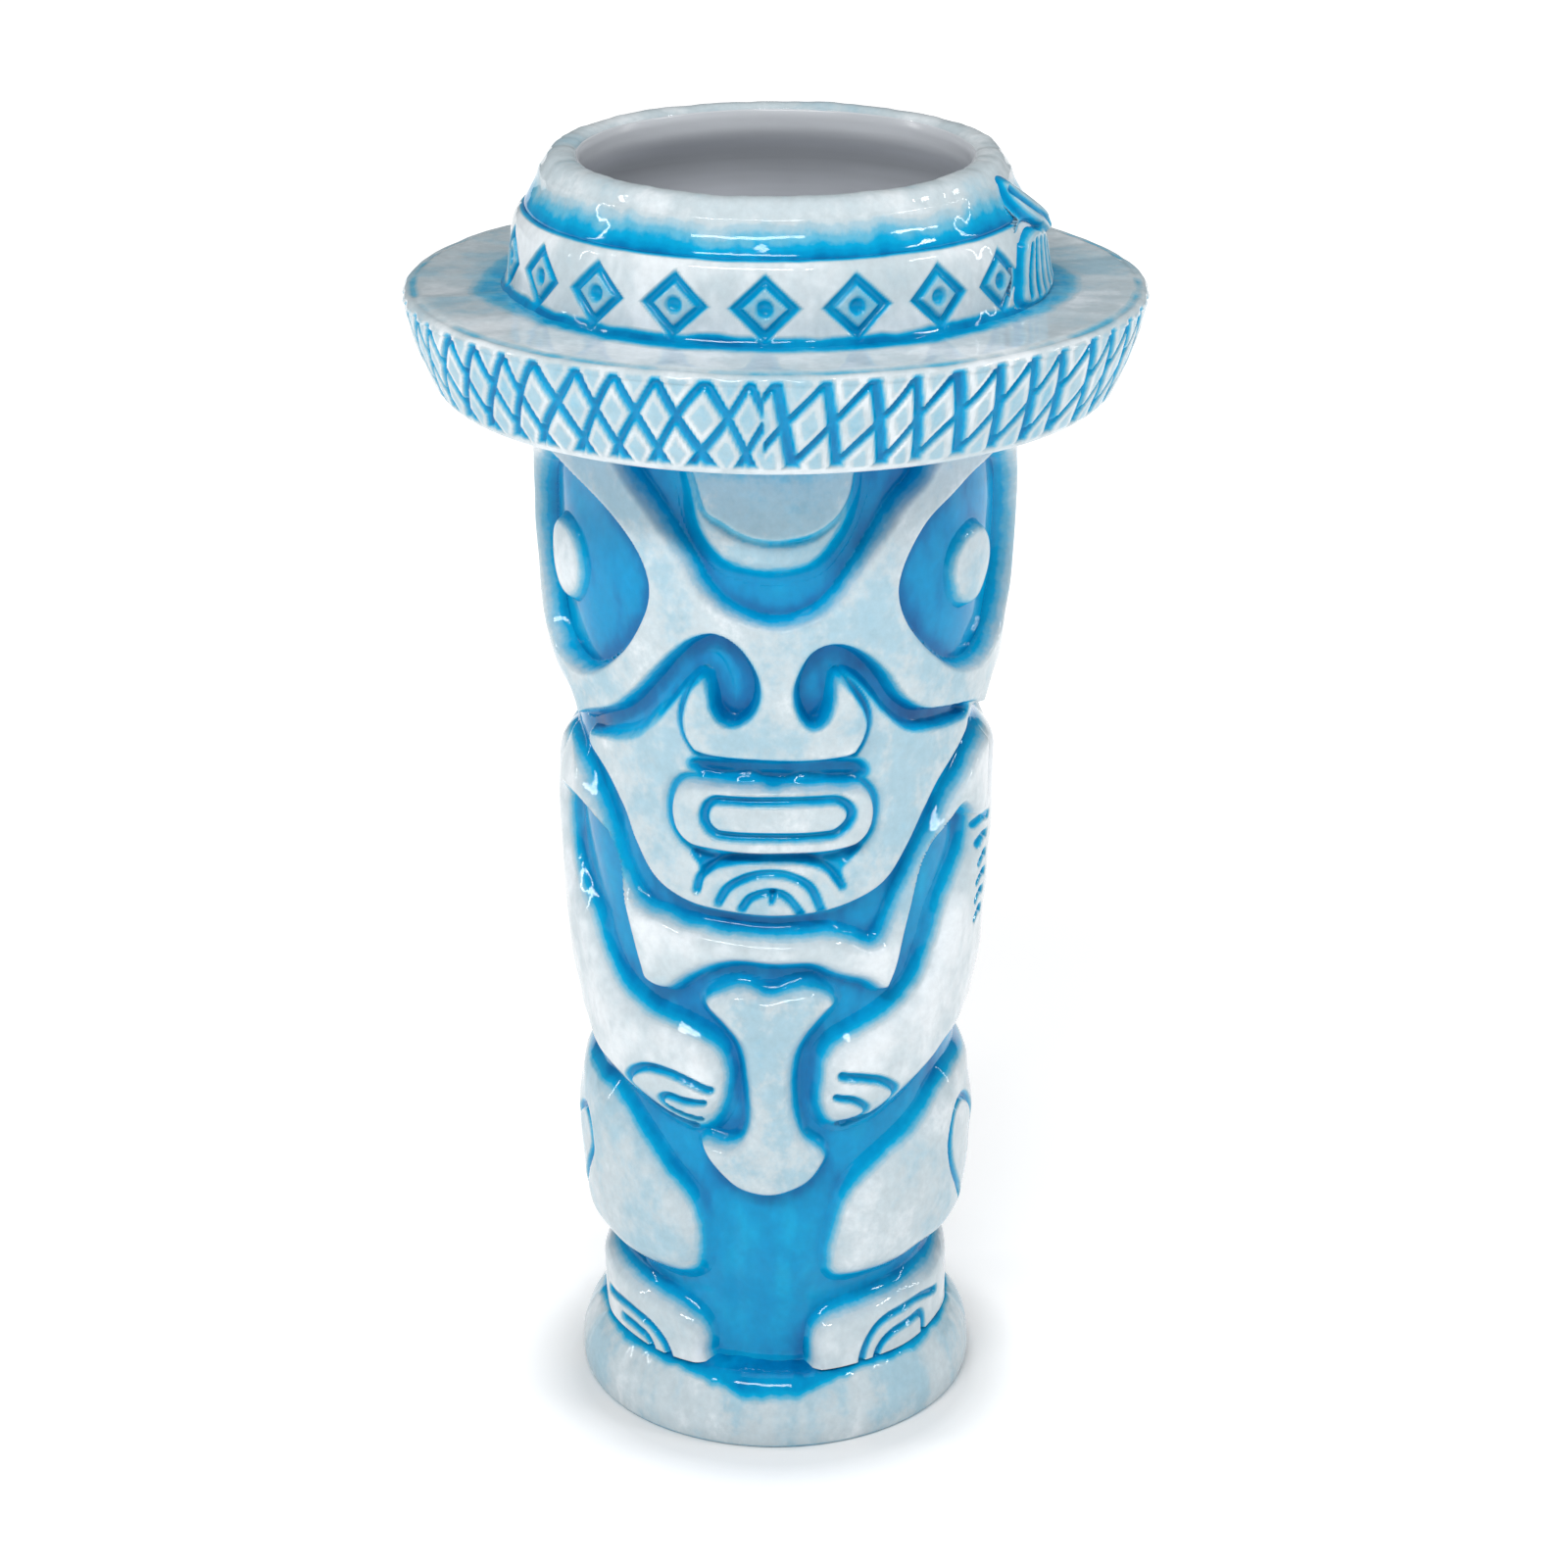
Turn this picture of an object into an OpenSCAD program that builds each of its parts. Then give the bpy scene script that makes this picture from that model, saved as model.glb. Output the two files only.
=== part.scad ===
// Tiki mug: a squatting carved figure in a wide-brimmed hat, glazed ceramic.
// Millimetres, +Z up, origin at the centre of the base, the face looks towards -Y.
// Angles round the mug start at the face and grow towards +X.

/* [Cup] */
// Height of the lip above the table
mug_h = 190.5; // [188:0.5:196]
// Inner radius of the mouth
mouth_r = 27.6; // [26:0.2:28.4]
// Thickness of the cup's wall behind the carving
wall_t = 4; // [3:0.25:5]
// Height of the cup's floor, inside
floor_z = 9; // [7:0.5:12]
// Thickness of the glaze that lines the cup
liner_t = 0.4; // [0.2:0.1:0.8]

/* [Foot] */
// Radius of the round plinth
foot_r = 30.3; // [29:0.1:32]
// Height of the plinth
foot_h = 12.5; // [12:0.1:12.8]
// Radius of the edge round the plinth's top
foot_round = 4; // [2:0.25:5]
// Depth of the hollow inside the foot ring
foot_hollow = 1.5; // [0.5:0.25:2.5]

/* [Carving] */
// Height of the carved figure above its recessed ground
relief = 3.2; // [2.5:0.1:3.6]
// Depth of the lines cut into the carving
line_d = 1; // [0.5:0.1:1.6]
// Width of the gap between neighbouring parts of the carving
gap = 1.6; // [1:0.1:2.2]
// Radius of the eyeballs
eye_r = 5.8; // [5:0.1:6.6]

/* [Hat] */
// Radius of the brim's upper edge
brim_r = 52.1; // [50:0.1:54]
// Radius of the brim's lower edge
brim_low_r = 45.4; // [44:0.1:47]
// Height of the brim's underside above the table
brim_z = 157.6; // [157:0.1:158]
// Height of the brim's top face above the table
brim_top_z = 172.5; // [171:0.1:173]
// Radius of the band at its foot
band_r = 37.5; // [36.5:0.1:38]
// Number of diamonds round the band
diamonds = 19; // [12:1:21]

/* [Hidden] */
$fn = 96;

pale = [0.80, 0.86, 0.89];
tint = [0.62, 0.80, 0.88];
blue = [0.04, 0.50, 0.78];
grey = [0.58, 0.58, 0.61];

// The figure's outside, as [height, radius]: feet, thighs, forearms, chest, jaw, brow
FIGURE = [[12, 26.3], [20, 26.4], [24, 27.4], [28, 28.6], [34, 29.4], [42, 29.9], [58, 30.2], [66, 30.3],
          [75, 30.8], [90, 31.7], [100, 31.9], [110, 32], [116, 32.4], [124, 33.6], [136, 34.4],
          [146, 34.6], [158, 34.6]];
ankle_z = 24.5;
foot_top_z = 20.5;
elbow_z = 56;
neck_z = 110;
stem_r = FIGURE[len(FIGURE) - 1][1] - relief;
cup_low_z = foot_hollow + 3;
groove_z = 184.5;
lip_r = 32;
band_z = brim_top_z + 11;
reach = 60;
side_r = 30;
arm_facing = 55;

// Radius of the figure's outside at a height
function skin_r(z) = lookup(z, FIGURE);
// The figure's heights between two levels, both ends included
function levels(z0, z1) = concat([z0], [for (p = FIGURE) if (p[0] > z0 && p[0] < z1) p[0]], [z1]);
function turned(list) = [for (i = [len(list) - 1 : -1 : 0]) list[i]];
// An outline of [angle, height] points for one side, mirrored to the other side
function both_sides(half) = concat(half, [for (p = turned(half)) if (p[0] != 0) [-p[0], p[1]]]);
function flipped(outline) = [for (p = outline) [-p[0], p[1]]];

// Section of the layer between the ground and the figure's outside
module layer_section(z0, z1, sink = 0) {
  heights = levels(z0, z1);
  polygon(concat(
    [for (z = heights) [skin_r(z) - relief, z]],
    [for (z = turned(heights)) [skin_r(z) - sink, z]]));
}

module layer(z0, z1, sink = 0) {
  rotate_extrude() layer_section(z0, z1, sink);
}

// Part of the layer between two angles round the mug
module sector(from, to, z0, z1) {
  rotate([0, 0, from - 90]) rotate_extrude(angle = to - from) layer_section(z0, z1);
}

// Prism from the axis outwards, facing one angle; its outline is in [angle, height] points
module beam(outline, facing = 0) {
  rotate([0, 0, facing])
    rotate([90, 0, 0])
      linear_extrude(height = reach)
        polygon([for (p = outline) [side_r * sin(p[0] - facing), p[1]]]);
}

// Groove of one depth that follows an outline: what lies between two beams
module line_cut(outer, inner, facing = 0) {
  difference() {
    beam(outer, facing);
    beam(inner, facing);
    cylinder(h = 200, r = 22);
  }
}

// Ovoid of [angle, height] points, narrower at one end
function ovoid(mid, z, half_w, half_h, lean) =
  [for (a = [0 : 15 : 345]) [mid + half_w * cos(a) + lean * sin(a), z + half_h * sin(a)]];

jaw = both_sides([[0, 87.4], [20, 88.6], [31, 91.5], [39, 97], [46, 103], [56, 106.5], [70, 108.5], [74, 114]]);
jaw_gap = both_sides([[0, 87.4 - gap], [20, 88.6 - gap], [33, 91 - gap], [41, 96 - gap], [48, 102 - gap],
                      [57, 105.5 - gap], [74, 107.5], [80, 116]]);
lobe = both_sides([[0, 139.8], [9, 140.7], [15, 144], [19.5, 150], [21, 158]]);
lobe_gap = both_sides([[0, 132.7], [9, 134], [17, 138], [26, 146], [37, 152.5], [40, 158]]);
lips = both_sides([[0, 97], [20, 97.5], [25.5, 99.3], [27.5, 102.5], [26, 106], [21, 107.8], [0, 108]]);
lips_gap = both_sides([[0, 96.2], [20.6, 96.7], [27, 98.8], [29, 102.5], [27.6, 106.6], [22, 112], [0, 112]]);
tongue = both_sides([[0, 101.3], [16, 101.5], [18, 103.3], [16, 105.2], [0, 105.3]]);
tongue_gap = both_sides([[0, 100], [18, 100.2], [21, 103.3], [18, 106.4], [0, 106.5]]);
belly_arch = both_sides([[0, 79.6], [10, 79.3], [20, 77], [31, 74], [36, 70], [0, 70]]);
strap_side = [[31, 74], [35, 75.5], [38.5, 83], [41, 88.5], [45, 93], [52, 96.5], [58, 98], [60, 110],
              [110, 110], [110, 70], [31, 70]];
shield = both_sides([[0, 42.2], [7, 43], [13, 45.5], [17, 48.6], [12, 51], [8, 54.5], [6.8, 60], [8, 65],
                     [13, 69], [18, 72.5], [14, 76], [6, 77.3], [0, 76.6]]);
hand_front = [[0, 50], [14.6, 50], [13, 55], [11, 59.5], [11.5, 66], [18, 68], [26, 69.2], [39, 72.3],
              [46, 77.5], [50, 82.5], [57, 88.5], [63, 91.5], [63, 95.5], [58, 98], [60, 108], [0, 108]];
forearm_low = [[0, 40], [110, 40], [110, 56], [90, 57.5], [74, 59.5], [61, 59.6], [43, 55.3], [26, 52.2],
               [16, 53], [0, 52]];
knee_front = [[0, 20], [22, 25], [17, 26.5], [14.5, 30.5], [16, 35], [19.5, 40.5], [24, 44.3], [32, 46.8],
              [42, 49.3], [54, 53], [62, 57.5], [0, 58]];
thigh_top = [[40, 50], [54, 53], [62, 55], [80, 55], [100, 54], [116, 57], [116, 60], [40, 60]];
toe_end = [[0, 5], [20, 5], [20, 13], [14, 15.5], [13, 17.5], [18, 19.3], [24, 24], [0, 24]];

module cup_wall() color(blue) {
  top = groove_z;
  foot_in = skin_r(12) - relief;
  difference() {
    rotate_extrude() polygon(concat(
      [[0, cup_low_z], [foot_in, cup_low_z]],
      [for (z = levels(12, brim_z)) [skin_r(z) - relief, z]],
      [[stem_r, brim_z], [stem_r, brim_top_z], [stem_r + 1, band_z],
       [stem_r + 2.2, top], [lip_r + 0.4, top + 2.5], [lip_r, mug_h - 2], [lip_r - 1.2, mug_h - 0.4],
       [lip_r - 2.2, mug_h], [mouth_r + 1.2, mug_h], [mouth_r + 0.2, mug_h - 0.8], [mouth_r, mug_h - 2],
       [0, mug_h - 2]]));
    cavity(0);
  }
}

// The space inside the cup; inset shrinks it by the thickness of the liner
module cavity(inset) {
  low = levels(20, 150);
  rotate_extrude() polygon(concat(
    [[0, floor_z + inset], [14 - inset, floor_z + inset], [17.5 - inset, floor_z + 3 + inset]],
    [for (z = low) [skin_r(z) - relief - wall_t - inset, z]],
    [[mouth_r - inset, 158], [mouth_r + 0.6 - inset, 168], [mouth_r + 1.6 - inset, 178],
     [mouth_r + 1.4 - inset, 184], [mouth_r - inset, 187], [mouth_r - inset, mug_h + 1], [0, mug_h + 1]]));
}

module liner_glaze() color(grey) {
  difference() {
    intersection() {
      cavity(0);
      cylinder(h = mug_h - 2, r = 40);
    }
    cavity(liner_t);
  }
}

module foot_disc() color(pale) {
  socket_r = skin_r(12) - relief;
  difference() {
    rotate_extrude() union() {
      square([foot_r - foot_round, foot_h]);
      square([foot_r, foot_h - foot_round]);
      translate([foot_r - foot_round, foot_h - foot_round]) circle(r = foot_round);
    }
    translate([0, 0, cup_low_z]) cylinder(h = foot_h, r = socket_r);
    translate([0, 0, -1]) cylinder(h = 1 + foot_hollow, r = foot_r - 5);
  }
}

module eye_socket(side) {
  beam(ovoid(side * 53, 135.5, 22.5, 14.5, -side * 4), side * 53);
}

module head() color(pale) {
  difference() {
    union() {
      layer(neck_z + 2, brim_z);
      intersection() {
        layer(80, neck_z + 2);
        beam(jaw);
      }
    }
    for (side = [-1, 1]) {
      eye_socket(side);
      nostril(side);
    }
    beam(lobe_gap);
    beam(lips_gap);
  }
}

// Hooked nostril: a round pit and the trough that leads up and out of it
module nostril(side) {
  beam(ovoid(side * 9.5, 120.5, 5, 4, 0), side * 9.5);
  beam([for (p = [[8, 124], [9, 129.5], [16, 129], [28, 124], [40, 118], [39, 116.8], [27, 121.5], [15, 124]])
        [side * p[0], p[1]]], side * 20);
}

module forehead() color(tint) {
  intersection() {
    layer(132, brim_z, 0.8);
    beam(lobe);
  }
}

module eyeball(side) {
  tilt = side * 55;
  intersection() {
    layer(120, 152, 0.9);
    rotate([0, 0, tilt]) translate([0, 0, 136.5]) rotate([90, 0, 0]) cylinder(h = reach, r = eye_r);
  }
}

module left_eye() color(pale) eyeball(-1);

module right_eye() color(pale) eyeball(1);

module mouth() color(pale) {
  difference() {
    intersection() {
      layer(90, 111);
      beam(lips);
    }
    difference() {
      line_cut(tongue_gap, tongue);
      layer(90, 111, line_d);
    }
  }
}

module chest() color(pale) {
  difference() {
    sector(-64, 64, 74, neck_z - gap);
    beam(jaw_gap);
    beam(belly_arch);
    beam(strap_side, arm_facing);
    beam(flipped(strap_side), -arm_facing);
  }
}

module belly() color(pale) {
  intersection() {
    layer(40, 79);
    beam(shield);
  }
}

module left_arm() color(pale) {
  difference() {
    sector(-104, -9, 51.5, neck_z - gap);
    beam(flipped(hand_front), -arm_facing);
    beam(flipped(forearm_low), -arm_facing);
    beam(jaw_gap);
  }
}

module right_arm() mirror([1, 0, 0]) left_arm();

module back() color(pale) sector(107, 253, elbow_z + gap, neck_z - gap);

module left_leg() color(pale) {
  difference() {
    sector(-176, -12, ankle_z, elbow_z);
    beam(flipped(knee_front));
    beam(flipped(thigh_top), -arm_facing);
  }
}

module right_leg() mirror([1, 0, 0]) left_leg();

module left_foot() color(pale) {
  difference() {
    sector(-112, -12, foot_h, foot_top_z);
    beam(flipped(toe_end));
  }
}

module right_foot() mirror([1, 0, 0]) left_foot();

module hat_brim() color(tint) {
  mid_z = brim_z + 7.5;
  mid_r = brim_r - 1.6;
  rotate_extrude() polygon([
    [stem_r, brim_z], [brim_low_r - 1, brim_z], [brim_low_r + 0.6, brim_z + 0.3],
    [brim_low_r + 3.4, brim_z + 3.2], [mid_r, mid_z], [brim_r - 0.2, brim_top_z - 2.6],
    [brim_r, brim_top_z - 0.8], [brim_r - 0.7, brim_top_z], [stem_r, brim_top_z]]);
}

// Diamond cut into the band, with an island and a dot in its middle
module diamond_cut() {
  translate([0, -stem_r, 0]) rotate([90, 0, 0]) linear_extrude(height = 10) union() {
    difference() {
      polygon([[-4.1, 0], [0, -4], [4.1, 0], [0, 4]]);
      polygon([[-2.9, 0], [0, -2.8], [2.9, 0], [0, 2.8]]);
    }
    circle(r = 1, $fn = 24);
  }
}

module hat_band() color(tint) {
  top_r = band_r - 1.2;
  difference() {
    rotate_extrude() polygon([
      [stem_r, brim_top_z], [band_r + 1, brim_top_z], [band_r, brim_top_z + 1.4], [top_r + 0.6, band_z - 3],
      [top_r, band_z - 1], [top_r - 1.2, band_z], [stem_r + 1, band_z]]);
    difference() {
      for (i = [0 : diamonds - 1])
        rotate([0, 0, -2 + i * 360 / diamonds]) translate([0, 0, brim_top_z + 5]) diamond_cut();
      rotate_extrude() polygon([
        [0, brim_top_z - 1], [band_r, brim_top_z - 1], [band_r - line_d, brim_top_z + 1.4],
        [top_r + 0.6 - line_d, band_z - 3], [top_r - line_d, band_z - 1], [0, band_z]]);
    }
    knot_room();
  }
}

// Place on the band where the knot is tucked in
module knot_room() {
  rotate([0, 0, 71]) translate([0, -band_r - 4, brim_top_z + 0.5]) cylinder(h = 30, r = 8.5);
}

module hat_knot() color(tint) {
  intersection() {
    knot_room();
    rotate_extrude() polygon([
      [stem_r + 1, band_z], [band_r - 3, brim_top_z], [band_r + 2, brim_top_z],
      [band_r + 1, band_z], [lip_r + 2.6, band_z + 4], [stem_r + 2.2, band_z + 2]]);
  }
}

cup_wall();
liner_glaze();
foot_disc();
head();
forehead();
left_eye();
right_eye();
mouth();
chest();
belly();
left_arm();
right_arm();
back();
left_leg();
right_leg();
left_foot();
right_foot();
hat_brim();
hat_band();
hat_knot();
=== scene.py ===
# %% [markdown]
# # A carved tiki mug in running blue glaze
#
# This lesson builds a ceramic mug shaped as a squatting carved figure in a wide hat. The real mug is cast
# in a mould, dipped in a pale glaze and brushed with blue, which runs off the high places and pools in the
# carving. So there are two jobs: a relief that is true geometry, and a glaze that knows how deep it lies.
#
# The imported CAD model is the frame: every piece here stands for one of its nodes and stays in its place.

# %% Load the frame
import math

import bpy
import numpy as np
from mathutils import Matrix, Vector


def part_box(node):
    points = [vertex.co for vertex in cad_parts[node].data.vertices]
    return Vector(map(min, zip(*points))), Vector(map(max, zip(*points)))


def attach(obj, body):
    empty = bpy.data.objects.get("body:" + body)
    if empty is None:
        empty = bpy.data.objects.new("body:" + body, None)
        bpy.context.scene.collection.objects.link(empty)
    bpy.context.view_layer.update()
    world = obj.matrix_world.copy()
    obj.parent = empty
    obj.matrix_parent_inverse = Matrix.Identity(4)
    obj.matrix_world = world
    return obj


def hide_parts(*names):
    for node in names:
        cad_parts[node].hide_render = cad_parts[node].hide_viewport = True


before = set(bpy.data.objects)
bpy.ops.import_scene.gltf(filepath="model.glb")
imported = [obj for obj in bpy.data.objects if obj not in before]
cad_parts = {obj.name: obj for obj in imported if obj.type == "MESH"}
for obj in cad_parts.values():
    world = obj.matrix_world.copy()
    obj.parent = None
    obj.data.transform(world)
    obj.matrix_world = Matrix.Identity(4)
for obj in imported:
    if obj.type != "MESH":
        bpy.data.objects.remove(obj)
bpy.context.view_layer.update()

print("frame loaded with", len(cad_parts), "nodes")

# %% [markdown]
# Lengths below are drawing millimetres. The mug is drawn 190.5 tall, and `MM` turns a drawn length into
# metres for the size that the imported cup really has.

# %% Drawing unit
DRAWN_TALL = 190.5
mug_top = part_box("cup_wall")[1][2]
MM = mug_top / DRAWN_TALL
print(f"mug {mug_top:.4f} m tall, one drawing millimetre is {MM:.6f} m")

# %% [markdown]
# ## Camera
#
# The mug is seen from a little above, so that the eye looks down into the mouth. A long lens from half a
# metre away keeps the brim's ellipse gentle, and still lets the foot look smaller than the hat.

# %% Camera
EYE = (1.1, -484.6, 291.4)
LOOK_DOWN, LEAN = 21.97, -0.05
LENS = 80.8
camera_data = bpy.data.cameras.new("camera")
camera_data.sensor_width = 36.0
camera_data.lens = LENS
camera = bpy.data.objects.new("camera", camera_data)
camera.location = Vector(EYE) * MM
camera.rotation_euler = (math.radians(90 - LOOK_DOWN), math.radians(LEAN), 0.0)
bpy.context.scene.collection.objects.link(camera)
bpy.context.scene.camera = camera
bpy.context.scene.view_settings.view_transform = "Standard"
print("camera looks down by", LOOK_DOWN, "degrees")

# %% [markdown]
# ## Light
#
# A glaze is only as good as what it mirrors. One wide, low soft box above the front gives the short bright
# bars on every shoulder, a tall strip on each side draws the long streaks down the arms and legs, and a big
# weak box straight above lifts the brim. An even sky fills the shadows.

# %% Soft boxes and sky


def soft_box(name, turn, rise_deg, reach, size, power):
    """A rectangular light aimed at the middle of the mug; turn is its angle round the mug from the front."""
    light = bpy.data.lights.new(name, "AREA")
    light.shape = "RECTANGLE"
    light.size, light.size_y = size
    light.energy = power
    lamp = bpy.data.objects.new(name, light)
    around, up = math.radians(turn), math.radians(rise_deg)
    aim = Vector((0.0, 0.0, 0.5 * mug_top))
    away = Vector((math.sin(around) * math.cos(up), -math.cos(around) * math.cos(up), math.sin(up)))
    lamp.location = aim + reach * away
    lamp.rotation_euler = away.to_track_quat("Z", "Y").to_euler()
    bpy.context.scene.collection.objects.link(lamp)


soft_box("front_box", turn=-16, rise_deg=48, reach=1.1, size=(0.72, 0.095), power=6.9)
soft_box("top_box", turn=0, rise_deg=82, reach=1.0, size=(0.5, 0.5), power=0.8)
soft_box("right_box", turn=76, rise_deg=40, reach=0.9, size=(0.22, 0.05), power=1.5)
soft_box("right_strip", turn=100, rise_deg=22, reach=0.9, size=(0.02, 0.45), power=0.7)
soft_box("left_strip", turn=-92, rise_deg=26, reach=0.9, size=(0.02, 0.45), power=1.0)

SKY_COLOUR, SKY_STRENGTH = (0.96, 0.98, 1.0, 1.0), 0.17
sky = bpy.data.worlds.new("studio_sky")
sky.use_nodes = True
sky_light = sky.node_tree.nodes["Background"]
sky_light.inputs["Color"].default_value = SKY_COLOUR
sky_light.inputs["Strength"].default_value = SKY_STRENGTH
bpy.context.scene.world = sky

# %% [markdown]
# The table is one plain white sheet that glows a little, painted light in place of a lit studio sweep. The
# glow dies away under the mug, which paints the soft shadow where it stands.

# %% Table
TABLE_HALF = 6.0
# Painted shadow: the glow is almost nothing under the mug and just round its foot, weakest round a point a
# little in front of its axis, so a darker ring is painted round the foot, widest in front.
PAINTED_SHADOW_CENTRE, GLOW_REACH = (0.0, -4.0 * MM, 0.0), 0.6
GLOW_AND_SHADOW_STOPS = ((0.050, 0.05), (0.068, 0.50), (1.0, 0.90))
table_mesh = bpy.data.meshes.new("table")
corners = [(x * TABLE_HALF, y * TABLE_HALF, 0) for x, y in ((-1, -1), (1, -1), (1, 1), (-1, 1))]
table_mesh.from_pydata(corners, [], [(0, 1, 2, 3)])
table = bpy.data.objects.new("table", table_mesh)
bpy.context.scene.collection.objects.link(table)
print("table", 2 * TABLE_HALF, "m across")

# %% Table finish
white = bpy.data.materials.new("white_table")
white.use_nodes = True
white_nodes, white_links = white.node_tree.nodes, white.node_tree.links
white_shader = white_nodes["Principled BSDF"]
white_shader.inputs["Base Color"].default_value = (0.84, 0.84, 0.84, 1.0)
white_shader.inputs["Roughness"].default_value = 0.6
white_shader.inputs["Specular IOR Level"].default_value = 0.1
white_shader.inputs["Emission Color"].default_value = (1.0, 1.0, 1.0, 1.0)
place = white_nodes.new("ShaderNodeTexCoord")
far_off = white_nodes.new("ShaderNodeVectorMath")
far_off.operation = "DISTANCE"
far_off.inputs[1].default_value = PAINTED_SHADOW_CENTRE
share_out = white_nodes.new("ShaderNodeMath")
share_out.operation = "DIVIDE"
share_out.inputs[1].default_value = GLOW_REACH
glow = white_nodes.new("ShaderNodeValToRGB")
fade = glow.color_ramp.elements
fade[0].position = GLOW_AND_SHADOW_STOPS[0][0]
fade.new(GLOW_AND_SHADOW_STOPS[1][0])
for stop, (at, grey) in zip(fade, GLOW_AND_SHADOW_STOPS):
    stop.position, stop.color = at, (grey, grey, grey, 1)
white_links.new(place.outputs["Object"], far_off.inputs[0])
white_links.new(far_off.outputs["Value"], share_out.inputs[0])
white_links.new(share_out.outputs[0], glow.inputs["Fac"])
white_links.new(glow.outputs["Color"], white_shader.inputs["Emission Strength"])
table_mesh.materials.append(white)
print("table glow from", GLOW_AND_SHADOW_STOPS[0][1], "to", GLOW_AND_SHADOW_STOPS[-1][1])

# %% [markdown]
# ## The drawing sheet
#
# The figure is wrapped round the cup, so it is drawn on a flat sheet: the angle from the face runs along it
# and the height up it, as on a label. The carving is then a height map on that sheet, in millimetres below
# the figure's outside. One fine grid serves all the parts, so that neighbours share its points.

# %% Grid of the sheet
STEP_DEG = 0.6
STEP_Z = 0.34
SHEET_LOW, SHEET_HIGH = 11.0, 160.0
turns = np.arange(-180.0, 180.0, STEP_DEG)
levels = np.arange(SHEET_LOW, SHEET_HIGH, STEP_Z)
TURN, LEVEL = np.meshgrid(turns, levels)
MEAN_R = 31.0
DEG = math.radians(MEAN_R)  # mm along the sheet for one degree of turn
print("sheet of", TURN.shape, "points;", round(DEG * STEP_DEG, 2), "mm by", STEP_Z, "mm")

# %% [markdown]
# The figure's outside swells and narrows with height: slim at the feet, widest at the brow. Twenty radii are
# enough, because a Catmull-Rom curve through them has no kinks.

# %% Outside of the figure
SKIN = [(8, 26.2), (12, 26.3), (20, 26.4), (24, 27.3), (28, 28.5), (34, 29.4), (42, 29.9), (50, 30.1),
        (58, 30.2), (66, 30.3), (75, 30.8), (90, 31.7), (100, 31.9), (110, 32.0), (116, 32.5), (124, 33.6),
        (130, 34.1), (136, 34.4), (146, 34.6), (162, 34.6)]


def through(points, cuts=6, closed=False):
    """A smooth line through a few points: each stretch is a Catmull-Rom curve cut into short steps."""
    p = np.asarray(points, float)
    ends = (p[-1:], p[:2]) if closed else (2 * p[:1] - p[1:2], 2 * p[-1:] - p[-2:-1])
    p = np.concatenate([ends[0], p, ends[1]])
    t = np.linspace(0, 1, cuts, endpoint=False)[None, :, None]
    a, b, c, d = p[:-3, None], p[1:-2, None], p[2:-1, None], p[3:, None]
    curve = 0.5 * (2 * b + (c - a) * t + (2 * a - 5 * b + 4 * c - d) * t**2 + (3 * b - a - 3 * c + d) * t**3)
    curve = curve.reshape(-1, p.shape[1])
    return curve if closed else np.concatenate([curve, p[-2:-1]])


skin_line = through(SKIN)


def skin(z):
    return np.interp(z, skin_line[:, 0], skin_line[:, 1])


print("waist", round(float(skin(58)), 1), "mm, brow", round(float(skin(146)), 1), "mm")

# %% [markdown]
# ## Drawing tools
#
# A carver works with outlines and lines, and so does this lesson. `inside` gives every grid point its
# distance in from a closed outline, and `away` its distance from an open line. Distances beyond `FAR` don't
# matter to a carving tool, so they aren't worked out.

# %% Distances from outlines and lines
FAR = 9.0


def distances(line, closed, turn, level):
    """Distance in mm from a line of (turn, height) points; outside a closed line it is negative."""
    middle = 0.5 * (line[:, 0].min() + line[:, 0].max())
    around = (turn - middle + 180) % 360 - 180
    half = 0.5 * np.ptp(line[:, 0]) + FAR / DEG
    near = (np.abs(around) < half) & (level > line[:, 1].min() - FAR) & (level < line[:, 1].max() + FAR)
    u, v = around[near] * DEG, level[near]
    x, y = (line[:, 0] - middle) * DEG, line[:, 1]
    if closed:
        x, y = np.append(x, x[0]), np.append(y, y[0])
    best = np.full(u.shape, FAR**2)
    crossed = np.zeros(u.shape, bool)
    for x0, y0, x1, y1 in zip(x[:-1], y[:-1], x[1:], y[1:]):
        dx, dy = x1 - x0, y1 - y0
        t = np.clip(((u - x0) * dx + (v - y0) * dy) / max(dx * dx + dy * dy, 1e-9), 0, 1)
        best = np.minimum(best, (u - x0 - t * dx) ** 2 + (v - y0 - t * dy) ** 2)
        if closed and y0 != y1:
            crossed ^= ((y0 > v) != (y1 > v)) & (u < x0 + (v - y0) * dx / dy)
    result = np.full(turn.shape, -FAR if closed else FAR)
    found = np.sqrt(best)
    result[near] = np.where(crossed, found, -found) if closed else found
    return result


def inside(points, turn=TURN, level=LEVEL):
    return distances(through(points, closed=True), True, turn, level)


def away(points, turn=TURN, level=LEVEL):
    return distances(through(points), False, turn, level)


print("distances reach", FAR, "mm")

# %% [markdown]
# `lift` turns a distance into the section of a carved edge: a hollow fillet at the foot, then a rounded
# shoulder. `groove` is the section of a line cut with a round gouge.

# %% Sections of a carved edge


def ease(t):
    """Smooth step from 0 to 1."""
    t = np.clip(t, 0, 1)
    return t * t * t * (t * (6 * t - 15) + 10)


def lift(d, shoulder=2.2, foot=0.9, full=0.75):
    """Share of the full relief at a distance d in from the outline; outside it the part dives down."""
    rising = ease((d + foot) / (shoulder + foot)) ** full
    dive = 0.35 * np.clip((-d - foot) / 0.8, 0, 1.5)
    return rising - dive


def groove(d, width, depth):
    """Round-bottomed groove along a line."""
    return -depth * np.exp(-((d / (0.55 * width)) ** 4))


print("share of the relief 1 mm in:", round(float(lift(1.0)), 2))

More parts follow.
